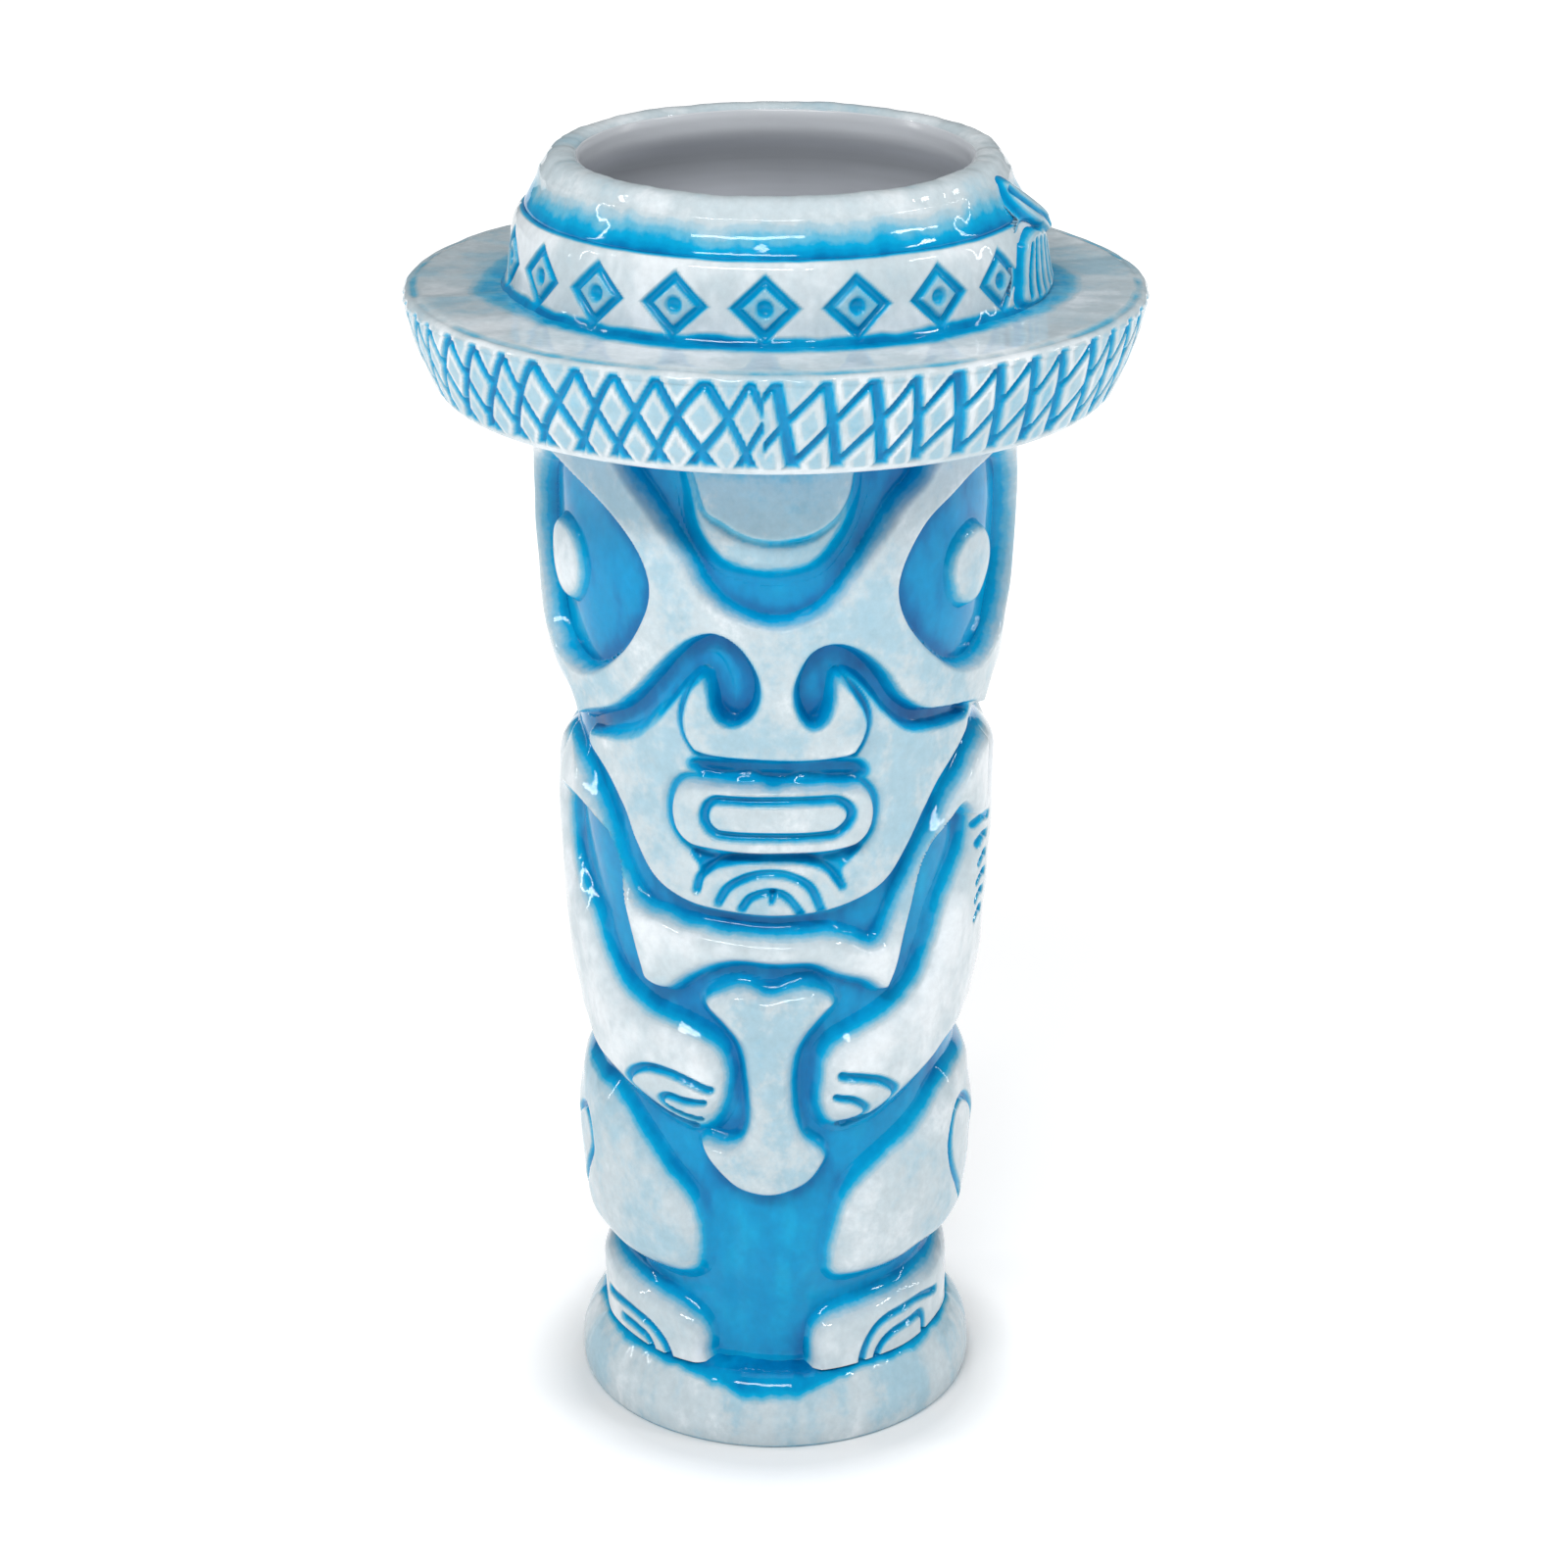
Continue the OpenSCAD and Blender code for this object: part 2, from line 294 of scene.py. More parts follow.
# %% [markdown]
# Each part of the figure gets a height map of its own, counted from the figure's outside: 0 on the high
# places, `GROUND` at the bottom of the carving and `OUT` where the part isn't. `ink` notes where a cut or a
# brush leaves blue that the depth alone wouldn't hold.

# %% Carving, cutting and washing
GROUND = -3.2
DIVE = 3.0
OUT = GROUND - DIVE
tops = {}
ink = np.zeros_like(TURN)


def carve(name, d, top=0.0, **section):
    """Adds one part of the figure: its height map from the distance d in from its outline."""
    share = lift(d, **section)
    raised = (top - GROUND) * np.maximum(share, 0)
    sunk = DIVE * np.minimum(share, 0)
    tops[name] = np.where(d > -4.0, GROUND + raised + sunk, OUT)


def cut(name, d, width=1.1, depth=0.9, strength=1.0):
    """Cuts a line into a part and lets the blue run into it."""
    tops[name] = tops[name] + groove(d, width, depth)
    share = strength * np.exp(-((d / (0.62 * width)) ** 4))
    np.maximum(ink, share, out=ink)


def wash(share):
    """Blue that lies where nothing deep holds it: a brushed or run area."""
    np.maximum(ink, share, out=ink)


print("relief", -GROUND, "mm")

# %% [markdown]
# ## The head
#
# The head is a ring round the cup with a long jaw that hangs down in front. The brow band, the eye rims and
# the nose are one raised shape, and the cheeks lie lower. The jaw is a line of heights and not an outline,
# because the head has no other edge on the sheet: its top runs up under the brim.

# %% Jaw
jaw = [(-180, 110.5), (-100, 110.5), (-80, 110.3), (-68, 109.4), (-61, 107.5), (-52.4, 104.8),
       (-45.6, 100.6), (-40.8, 95.8), (-35.2, 91.5), (-28, 89.2), (-18, 87.9), (0, 87.3), (14, 87.8),
       (24.6, 89.2), (32.8, 91.7), (39.4, 96), (44.8, 100.6), (51.6, 104.8), (60, 107.5), (68, 109.4),
       (80, 110.3), (100, 110.5), (180, 110.5)]
jaw_line = through(jaw)
jaw_z = np.interp(turns, jaw_line[:, 0], jaw_line[:, 1])
jaw_slope = np.gradient(jaw_z, turns * DEG)
jaw_z = jaw_z + 1.2 * ease((np.abs(turns) - 66) / 14)
over_jaw = (LEVEL - jaw_z[None, :]) / np.sqrt(1 + jaw_slope[None, :] ** 2)
print("chin at", round(float(jaw_z.min()), 1), "mm")

# %% [markdown]
# The brow's lower edge is drawn point by point, since it makes the nose as well: down from the temple,
# along the brow, round the nostril and back to the tip. Above it the shape only has to close somewhere out
# of sight.

# %% Brow, nose and cheeks
brow_low_left = [(-100, 111.3), (-84, 110.8), (-67, 111.8), (-56, 114.5), (-46.3, 116.5), (-39.4, 119.2),
                 (-31.4, 123.6), (-24.5, 127.8), (-19, 130.2), (-14, 130.9), (-9, 129.4), (-5, 126),
                 (-3.6, 122.5), (-5.3, 119.3), (-9.3, 117.4), (-13.2, 117.6), (-15.6, 119.6),
                 (-16.2, 122.2), (-17.6, 124.9), (-20.6, 123), (-23.2, 120), (-24.2, 116.6), (-22.4, 113.7),
                 (-18, 112.3)]
brow_low_right = [(18, 111.9), (22.2, 113.3), (24.2, 116.2), (23, 119), (20, 121.6), (15.6, 124.9),
                  (14.8, 122.4), (14.4, 120), (12.6, 117.8), (9.6, 116.9), (6.4, 118.6), (4.7, 121.8),
                  (5.6, 125), (8.6, 128.2), (13, 129.4), (18, 128.9), (23, 127), (28.4, 123.6),
                  (33.6, 119.8), (40, 117.3), (48, 116.3), (60.6, 115), (72, 112.6), (84, 110.8),
                  (100, 111.3)]
brow_far_above = [(108, 130), (100, 175), (0, 178), (-100, 175), (-108, 130)]
brow = inside(brow_low_left + [(0, 111.8)] + brow_low_right + brow_far_above)
softer_at_side = 1.3 + 6.2 * ease((np.abs(TURN) - 56) / 24)
carve("head", over_jaw, top=0.0, shoulder=softer_at_side, foot=0.8, full=0.7)
front = ease((105 - np.abs(TURN)) / 12)
cheek = (1.15 + 0.5 * ease((5 + brow) / 4)) * front
cheek *= (1 - ease((brow + 0.45) / 0.9)) * ease((over_jaw + 3) / 3)
tops["head"] -= cheek
print("brow drawn from", len(brow_low_left) + len(brow_low_right), "points")

# %% [markdown]
# A hooked nostril is scooped out under each brow, like the bowl of a comma. It is deepest against the nose
# and runs out along the cheek, so its depth fades with the distance from the brow's wall.

# %% Nostrils
hook_left = inside([(-66, 111.6), (-56, 114.2), (-46.3, 116.4), (-39.4, 119), (-31.4, 123.5),
                    (-24.5, 127.8), (-19, 130.2), (-14, 130.9), (-9, 129.4), (-5, 126), (-3.6, 122.5),
                    (-5.3, 119.3), (-9.3, 117.4), (-13.2, 117.6), (-15.6, 119.6), (-16.2, 122.2),
                    (-17.8, 124.6), (-22, 122.6), (-27.5, 119), (-34, 114.8), (-41, 112), (-50, 111),
                    (-58, 110.2), (-66, 109.6)])
hook_right = inside([(62, 114.6), (48, 116.2), (40, 117.2), (33.6, 119.7), (28.4, 123.5), (23, 126.9),
                     (18, 128.8), (13, 129.4), (8.6, 128.2), (5.6, 125), (4.7, 121.8), (6.4, 118.6),
                     (9.6, 116.9), (12.6, 117.8), (14.4, 120), (14.8, 122.4), (15.6, 124.6), (20, 123.6),
                     (25, 120.6), (30, 117.2), (37, 114.2), (46, 113), (56, 112.4), (64, 112.4)])
brow_wall = np.maximum(-brow, 0)
HOOK_DEPTH = 1.7
for hook in (hook_left, hook_right):
    steep = ease((6.5 - brow_wall) / 4)
    tops["head"] -= HOOK_DEPTH * ease((hook + 0.5) / 1.8) * steep
    wash(ease((hook + 0.9) / 1.5) * np.exp(-((brow_wall / 5.4) ** 3)))
print("nostrils", HOOK_DEPTH, "mm deep")

# %% [markdown]
# Fine lines finish the face: one round the nose, a hollow between the nose and the lips, and nested arcs on
# the chin. The blue runs into all of them, so every cut inks its line too.

# %% Nose line and lips' bed
nose_rim = away([(-17.6, 124.9), (-20.8, 123), (-23.4, 120), (-24.4, 116.6), (-22.6, 113.5), (-18, 112),
                 (0, 111.5), (18, 111.6), (22.4, 113), (24.4, 116.2), (23.2, 119.1), (20.2, 121.8),
                 (15.6, 124.9)])
cut("head", nose_rim, width=1.25, depth=0.6)
over_mouth = inside([(-21, 111.2), (0, 111.2), (21, 111), (24.6, 108.8), (19, 107.7), (8, 108.7),
                     (0, 107.9), (-7, 108.9), (-15, 108.5), (-22, 109.2)])
tops["head"] -= 1.3 * ease((over_mouth + 0.5) / 1.4)
wash(0.9 * ease((over_mouth + 1.3) / 2.0))
lips_outline = [(-29, 104.2), (-28, 100.4), (-24, 98), (-18, 97.3), (0, 97), (18, 97.3), (24, 98.4),
                (27.2, 101), (27.6, 104.4), (24.8, 107), (20, 107.9), (0, 108.3), (-20, 108.5),
                (-26.5, 107.4)]
lips = inside(lips_outline)
tops["head"] -= 1.0 * np.exp(-((lips / 0.9) ** 2))
rim_share = np.interp(TURN, [-40, -22, -5, 15, 30], [0.5, 0.75, 0.8, 0.9, 0.95])
wash(rim_share * np.exp(-(((lips + 0.1) / 0.55) ** 2)))
print("lips", len(lips_outline), "points round")

# %% Chin arcs
chin_arcs = [
    ([(-21.4, 91.2), (-20, 93.6), (-15.5, 95.6), (-8, 96.6), (0, 96.7), (8, 96.4), (14, 95),
      (18.3, 92)], 1.1),
    ([(-15.4, 89.6), (-12.4, 92.2), (-7, 94), (-1.5, 94.6), (4, 94.1), (9.5, 92.2), (12.6, 88.6)], 1.15),
    ([(-9, 88.9), (-6.4, 90.8), (-1.5, 91.7), (3, 91), (7, 88.2)], 1.1),
    ([(-0.6, 91.6), (-0.9, 90.2)], 0.8)]
for arc, width in chin_arcs:
    cut("head", away(arc), width=width, depth=0.8)
for corner in ([(-23, 97.3), (-17, 97), (-8, 96.9), (-14, 95.8), (-19.6, 93.4), (-20.4, 95.2)],
               [(24, 97.8), (16, 97.2), (6, 96.9), (12, 95.6), (18.4, 92.4), (18, 95)]):
    wedge = inside(corner)
    tops["head"] -= 0.7 * ease((wedge + 0.4) / 1.0)
    wash(ease((wedge + 0.5) / 0.8))
print("chin lines:", len(chin_arcs))

# %% [markdown]
# The eye sockets and the groove round the forehead are cut right through the head to the blue ground. Where
# a pit is full depth the head simply isn't there, which leaves the ground to show.

# %% Sockets and forehead groove
socket_left = inside([(-67, 151), (-79, 147.6), (-84.5, 139), (-81, 129.6), (-72.5, 122.7), (-61, 120.4),
                      (-50, 121.8), (-40, 126), (-33.2, 131.6), (-31, 137), (-34.5, 142), (-43, 146.6),
                      (-54, 149.6)])
socket_right = inside([(67, 151.6), (79, 147.6), (84.5, 139.5), (83, 131.6), (76, 124.5), (64, 121),
                       (52, 121.8), (41.6, 125.6), (33.6, 130.8), (30.4, 136), (32.6, 141), (39, 145.8),
                       (48, 149), (56, 150.8)])
lobe_outer = [(-44, 160), (-38, 153.2), (-29, 147.4), (-22, 142), (-16.8, 137.2), (-10, 134), (0, 132.5),
              (8, 133.4), (14, 135.8), (19.4, 139.8), (24.6, 144.2), (30.2, 148.4), (38, 152.6), (44, 160)]
forehead_groove = inside(lobe_outer + [(40, 172), (-40, 172)])
for pit in (socket_left, socket_right, forehead_groove):
    wall = ease((pit + 0.9) / 2.2)
    tops["head"] = np.where(pit > 1.8, OUT, tops["head"] + (GROUND - 0.5 - tops["head"]) * wall)
print("head cut through in 3 places")

# %% [markdown]
# Each eyeball is a low dome standing in its socket, with a faint crease of blue under it. The forehead is a
# lobe in two steps, the upper one a shade higher.

# %% Eyes
EYE_R, BROW_R = 6.0, 34.4
eye_centres = {"left_eye": (-65.0, 135.8), "right_eye": (58.0, 136.0)}
for name, (turn, z) in eye_centres.items():
    beside = (TURN - turn) * math.radians(BROW_R)
    from_eye = np.sqrt(beside**2 + (LEVEL - z) ** 2)
    dome = 0.5 * (1 - np.clip(from_eye / EYE_R, 0, 1) ** 2)
    carve(name, EYE_R - from_eye, top=-1.6 + dome, shoulder=1.2, foot=1.0)
    crease = away([(turn - 7, z - 5.4), (turn, z - 6.6), (turn + 7, z - 5.2)])
    wash(np.exp(-((crease / 0.5) ** 2)))
print("eyes", 2 * EYE_R, "mm across")

# %% Forehead
lobe = inside([(-21.5, 162), (-21, 150), (-18.6, 145), (-14, 141.6), (-9, 140.2), (0, 139.6), (9, 140.6),
               (14.2, 143.6), (18.4, 148), (20.4, 153), (21, 162)])
carve("forehead", lobe, top=-0.7, shoulder=3.4, foot=2.2, full=1.0)
upper_lobe = inside([(-18.6, 162), (-17.6, 150), (-12, 146.8), (-6, 145), (0, 144.4), (6.5, 144.9),
                     (12, 146.4), (16.6, 149), (19, 153), (19, 162)])
tops["forehead"] += 0.5 * ease((upper_lobe + 0.4) / 0.9)
cut("forehead", np.abs(upper_lobe + 0.1), width=1.1, depth=0.45, strength=0.5)
print("forehead carved in two steps")

# %% [markdown]
# The lips are a flat oval ring. A groove that follows the tongue's outline splits the ring from the tongue.

# %% Mouth
carve("mouth", lips, top=0.1, shoulder=1.8, foot=0.5, full=0.8)
tongue = inside([(-17, 103.2), (-15.4, 101.6), (-11, 101.2), (11, 101.2), (16, 101.6), (18.6, 103.4),
                 (16.4, 105), (11, 105.3), (-11, 105.3), (-15.6, 105)])
cut("mouth", np.abs(tongue + 0.65), width=1.2, depth=1.1)
print("head parts:", ", ".join(tops))

# %% [markdown]
# ## Body and limbs
#
# Below the jaw a yoke hangs from the shoulders. It is one outline from the left shoulder over the breast to
# the right one; past the shoulders it sinks away under the arms.

# %% Yoke
yoke_left = [(-30.5, 74.2), (-38.6, 74.6), (-41.2, 77.6), (-43.6, 82.5), (-46, 88), (-49.5, 92.8),
             (-55, 96.6), (-63, 98.6), (-74, 98.4), (-81, 97), (-87, 93), (-94, 90), (-94, 107.6)]
yoke_right = [(84, 107.6), (84, 91), (76, 92.5), (69, 95), (64, 97.4), (59, 98.6), (53, 97.4), (46.6, 94.6),
              (42, 90.6), (39.6, 86), (37.6, 81), (35.2, 76.2), (32.4, 73.8), (25.6, 75.6), (17, 77.4),
              (10, 79.2)]
shoulder_left = [(-77, 107.4), (-70, 106.2), (-63.4, 103.6), (-57, 99.8), (-51, 94.8), (-45.4, 89.8),
                 (-39.4, 86.9), (-30, 86.2), (-18.6, 85.8)]
shoulder_right = [(14, 85.4), (22, 84), (28.6, 82.4), (32.4, 84.6), (36, 88.8), (43, 94), (50, 98.4),
                  (56, 101.8), (63, 104.6), (70, 106.4), (77, 107.4)]
yoke = inside(yoke_left + shoulder_left + [(0, 85.2)] + shoulder_right + yoke_right
              + [(0, 79.4), (-11, 79.6), (-20.6, 77.8)])
yoke = np.minimum(yoke, (np.where(TURN < 0, 93, 83) - np.abs(TURN)) * DEG)
plump_in_middle = 1.7 + 1.3 * ease((34 - np.abs(TURN)) / 10)
carve("chest", yoke, top=0.1, shoulder=plump_in_middle, foot=0.9, full=0.75)
tops["chest"] -= 2.0 * np.where(TURN < 0, ease((-TURN - 79) / 13), ease((TURN - 75) / 8))
print("yoke drawn")

# %% [markdown]
# The belly is a shield between the hands, wide at the top and bottom and narrow where the hands press in.
# Its edge is steep below and soft above, so the shoulder of the section grows with height.

# %% Belly
belly = inside([(-2, 42), (5.4, 42.8), (11, 44.4), (14.6, 46.8), (15.6, 48.6), (13.4, 50.4), (9, 52.4),
                (6.8, 56), (6.2, 60), (7, 64.5), (10, 67.8), (14.6, 70.6), (18.6, 73), (16, 75.4),
                (10, 77.2), (4, 76.8), (-2, 76), (-9, 77), (-16, 76), (-21.4, 73.8), (-20.6, 71.6),
                (-16, 69.2), (-11.4, 66), (-9.4, 60.6), (-8.6, 55), (-10.6, 51.8), (-15, 51), (-20.6, 51.4),
                (-23, 50.4), (-21.4, 47.8), (-16.6, 45), (-10.6, 42.8)])
soft_top = np.interp(LEVEL, [40, 50, 60, 78], [1.6, 2.4, 3.0, 3.6])
carve("belly", belly, top=0.0, shoulder=soft_top, foot=1.0, full=0.85)
print("belly shoulder from", soft_top.min(), "to", soft_top.max(), "mm")

# %% [markdown]
# The arms come round from the back as plump tubes and end in mitten hands. A wide shoulder on the section
# makes a tube out of a flat outline. At the sides they lie a little deeper, which keeps the figure's waist.

# %% Arms and hands
outline_left = inside([(-111, 106.5), (-100, 107.8), (-91, 108), (-84.5, 105.4), (-82.5, 97.6),
                       (-82.5, 93.6), (-79, 88.8), (-70, 84.8), (-61.4, 82), (-57, 78), (-52, 74.6),
                       (-46, 72.2), (-38, 70.6), (-28, 69.8), (-19, 68.2), (-13.6, 65.8), (-11.4, 62),
                       (-12.4, 58.4), (-14.6, 55), (-19, 52.2), (-25, 51.4), (-32, 52), (-40, 53.2),
                       (-50, 54.6), (-60, 56), (-75, 57.6), (-95, 58), (-111, 58)])
outline_right = inside([(111, 106.5), (100, 107.8), (84, 108), (74, 106), (66, 98), (64.6, 93.6),
                        (60.6, 90.4), (55.4, 87.4), (50.6, 83.6), (47.8, 79), (43.6, 75.2), (38, 72.4),
                        (31, 70.6), (24, 69.2), (17, 67.6), (12.6, 65), (11, 61), (11, 57), (13.4, 53.8),
                        (18.6, 52.2), (26, 52.2), (35, 53.4), (44, 55.4), (53, 57.6), (62, 59.2),
                        (75, 59.6), (95, 58.4), (111, 58)])
for name, outline in (("left_arm", outline_left), ("right_arm", outline_right)):
    carve(name, outline, top=0.3, shoulder=5.6, foot=0.9, full=0.62)
    under_yoke = ease((LEVEL - 96) / 8) * ease((80 - np.abs(TURN)) / 7)
    tops[name] -= 3.0 * under_yoke
at_side = ease((np.abs(TURN) - 55) / 22)
for name in ("left_arm", "right_arm"):
    tops[name] -= 1.3 * at_side * ease((74 - LEVEL) / 15)
print("arms reach round to the back")

# %% [markdown]
# Two hooked lines on each mitten stand for the fingers.

# %% Fingers
fingers = {
    "left_arm": [([(-18.7, 59.4), (-24, 60.4), (-31, 61.2), (-38.3, 61), (-43.6, 59.4), (-45.6, 57.2),
                   (-42, 55), (-34.8, 53.5), (-24.5, 52.6)], 1.15),
                 ([(-20.5, 57.2), (-26, 57.2), (-31.4, 57.4), (-33.6, 56.4), (-31, 55.2),
                   (-22, 54.1)], 0.95)],
    "right_arm": [([(19, 61.8), (25, 61), (31, 59.8), (35.6, 57.8), (35.4, 55.8), (30.5, 53.9),
                    (21, 52.8)], 1.15),
                  ([(17.5, 58.4), (22, 57.8), (26, 56.2), (26.4, 54.8), (24, 53.8), (19.2, 53.2)], 0.95)]}
for name, lines in fingers.items():
    for line, width in lines:
        cut(name, away(line), width=width, depth=0.9)
print("finger lines:", sum(len(lines) for lines in fingers.values()))

# %% [markdown]
# The right upper arm carries a row of plain notches, as a carver marks a tattoo band.

# %% Marks on the upper arm
NOTCHES = 6
for z in np.linspace(79, 94, NOTCHES):
    notch = away([(69.5, z), (72.5, z + 0.8), (76, z + 0.4)])
    cut("right_arm", notch, width=1.0, depth=0.6)
print("notches:", NOTCHES)

# %% [markdown]
# The back is a plain panel between the arms, so its outline is just three straight edges. A line marks the
# spine, and each shoulder blade is a spiral made by a formula.

# %% Back
from_spine = 180 - np.abs(TURN)
in_back = np.minimum(np.minimum((65 - from_spine) * DEG, LEVEL - 58.4), 108.6 - LEVEL)
carve("back", in_back, top=0.1, shoulder=4.0, foot=1.0, full=0.75)
cut("back", away([(180, 64), (180, 84), (180, 103)]), width=1.4, depth=1.0)
for side in (-1, 1):
    blade = [(180 + side * (30 + 15 * math.cos(a) * (1 - a / 16)), 88 + 11 * math.sin(a) * (1 - a / 16))
             for a in np.linspace(-0.6, 7.2, 16)]
    cut("back", away(blade), width=1.1, depth=0.8)
print("back covers", round(float((in_back > 0).mean()), 2), "of the sheet")

# %% [markdown]
# Hand work is never even: the neck is pinched more on its left side. The pinch lowers every part that meets
# there, but leaves the places alone where a part is already out of sight.

# %% Neck
neck = np.exp(-(((LEVEL - 109.8) / 5.6) ** 2)) * 2.8 * ease((-TURN - 58) / 16) * ease((TURN + 160) / 40)
for name in ("head", "chest", "left_arm", "right_arm"):
    in_sight = ease((tops[name] - OUT - 2.9) / 2.5)
    tops[name] = tops[name] - neck * in_sight
print("neck pinched by", round(float(neck.max()), 1), "mm")

# %% [markdown]
# The thighs bend round the sides, fat at the hip and blunt at the knee. They use the same wide shoulder as
# the arms. A curled line marks each hip.

# %% Legs
thigh_left = inside([(-176.5, 56.4), (-120, 56.2), (-90, 56), (-72, 55.6), (-60, 54.6), (-51.5, 53),
                     (-44, 50.2), (-38.4, 47.6), (-33, 44.8), (-28, 42.6), (-23.6, 40), (-21.4, 36.6),
                     (-21, 32), (-22.6, 28.4), (-27, 26), (-34, 24.7), (-48, 24.4), (-70, 24.6), (-120, 25),
                     (-176.5, 25)])
thigh_right = inside([(176.5, 56.4), (120, 56.4), (92, 56.6), (78, 57), (66, 56.4), (56, 54), (50, 51.6),
                      (41, 49), (32, 46.8), (24.6, 44.4), (19.8, 41), (17.4, 37.6), (15.2, 33.8),
                      (14.6, 30.4), (16, 27.4), (21, 25.6), (34, 25), (54, 25.4), (80, 25.4), (120, 25),
                      (176.5, 25)])
carve("left_leg", thigh_left, top=0.1, shoulder=5.6, foot=1.0, full=0.62)
carve("right_leg", thigh_right, top=0.1, shoulder=5.6, foot=1.0, full=0.62)
for name in ("left_leg", "right_leg"):
    tops[name] -= 1.0 * at_side * ease((LEVEL - 42) / 12)
hips = {"left_leg": [(-85, 30), (-77, 34.6), (-70.5, 38.9), (-67, 42.6), (-69, 45.6), (-75, 46.6),
                     (-83, 44.2), (-88, 40), (-84, 37)],
        "right_leg": [(76, 31), (69, 35.2), (63.4, 39.4), (60.8, 44.2), (64.4, 48), (72, 48.8),
                      (80.6, 46), (86, 41), (82, 38)]}
for name, line in hips.items():
    cut(name, away(line), width=1.1, depth=0.8)
print("hip lines:", len(hips))

# %% [markdown]
# The stub feet stand on the plinth, so their outlines run on below its top and only the upper edge shows.

# %% Feet
foot_left = inside([(-128, 21), (-90, 21.4), (-62, 21.4), (-44, 20.9), (-33, 19.9), (-26, 18.2), (-23, 15.6),
                    (-23, 12.4), (-24, 7), (-128, 7)])
foot_right = inside([(128, 21), (90, 21.4), (62, 21.6), (44, 21.3), (30, 20.7), (18, 19.9), (12.8, 18.2),
                     (10.8, 15.4), (10.8, 12), (12, 7), (128, 7)])
carve("left_foot", foot_left, top=0.3, shoulder=3.4, foot=0.9, full=0.65)
carve("right_foot", foot_right, top=0.3, shoulder=3.4, foot=0.9, full=0.65)
toes = {"left_foot": [[(-74, 14.6), (-62, 15.2), (-50, 15.2), (-44, 14.4), (-38.6, 12.2), (-35, 8)],
                      [(-62, 12.6), (-52, 12.6), (-46, 11.8), (-42.6, 8)]],
        "right_foot": [[(28.6, 8), (30.4, 12.4), (33.8, 15.4), (39, 17), (46, 17.4), (57, 17.2), (68, 16)],
                       [(34.4, 8), (36.6, 12.2), (42, 14), (50, 14.4), (58, 14), (59, 10)]]}
for name, lines in toes.items():
    for line in lines:
        cut(name, away(line), width=1.1, depth=0.8)
print("parts of the figure:", len(tops))

# %% [markdown]
# ## The blue ground
#
# Everything between the parts is the cup's own outside. It isn't flat: it swells a little between the legs
# and in the eye sockets, and the elbows and the neck have shallower gaps than the rest.

# %% Ground


def swell(turn, z, wide, tall, rise):
    around = (TURN - turn + 180) % 360 - 180
    return rise * np.exp(-((around * DEG / wide) ** 2) - ((LEVEL - z) / tall) ** 2)


ground = GROUND + swell(3, 24, 5.5, 15, 1.0) - swell(-14, 28, 1.6, 14, 0.35)
ground += swell(-57, 136, 8, 8, 0.6) + swell(57, 136, 8, 8, 0.6)
pinch = ease((-TURN - 50) / 20) * ease((TURN + 160) / 40)
ground -= 1.2 * np.exp(-(((LEVEL - 24) / 3) ** 2)) * pinch
ground += 0.5 * ease((13 - LEVEL) / 2.0)
print("ground between", round(float(ground.min()), 1), "and", round(float(ground.max()), 1), "mm")

# %% [markdown]
# The finished surface is the highest of all the parts at each point. A slow wobble of a tenth of a
# millimetre goes over everything, because no cast and sponged surface is true.

# %% Finished surface
wobble = 0.10 * np.sin(TURN * 0.21 + LEVEL * 0.33) * np.sin(LEVEL * 0.19 - 0.7)
wobble += 0.06 * np.sin(np.radians(TURN) * 19 + 0.41 * LEVEL + 1.3) * np.sin(0.27 * LEVEL)
surface = ground.copy()
for height in tops.values():
    surface = np.maximum(surface, height)
print("surface from", round(float(surface.min()), 1), "to", round(float(surface.max()), 1), "mm")

# %% [markdown]
# The blue follows two measures. The first is how much glaze lies on a point: all of it where the carving is
# deep or inked, and a faint halo round that; in front it also carries a painted shadow of the brim across the
# top of the face. `hollow` compares the surface with its own blur, so it is high in the corners, where glaze
# gathers darkest.

# %% Where the blue lies


def blurred(field, cells):
    """Box blur, three times over, that wraps round the mug."""
    for _ in range(3):
        total = np.zeros_like(field)
        for shift in range(-cells, cells + 1):
            total += np.roll(field, shift, axis=1)
        field = total / (2 * cells + 1)
        padded = np.pad(field, ((cells, cells), (0, 0)), mode="edge")
        field = sum(padded[k:k + field.shape[0]] for k in range(2 * cells + 1)) / (2 * cells + 1)
    return field


hollow = np.clip((blurred(surface, 5) - blurred(surface, 1)) / 1.1, -1, 1)
# Painted shadow: a faint blue-grey band on the forehead just under the brim, in front, stands for the brim's
# shade.
brim_shadow_paint = 0.30 * ease((LEVEL - 149) / 7) * ease((30 - np.abs(TURN)) / 8)
on_head = surface <= tops["head"] + 0.01
FLOODED, FLOOD_RANGE = 1.15, 1.6
deep = ease((-surface - np.where(on_head, 0.8 * cheek, 0) - FLOODED) / FLOOD_RANGE)
pool = np.maximum.reduce([blurred(deep, 1), np.clip(ink, 0, 1), brim_shadow_paint])
HALO = 0.15
pool = np.maximum(pool, HALO * ease((blurred(pool, 7) - 0.15) / 0.7))
tops["blue_ground"] = ground
print(f"share of the figure under pooled blue: {pool.mean():.2f}")

# %% [markdown]
# ## From height map to solid
#
# Every piece is a mesh made from arrays of points and faces, and carries the glaze's two values at each
# point. It rides on the mug's only body and stands in for one node of the CAD model.

# %% Adding a piece


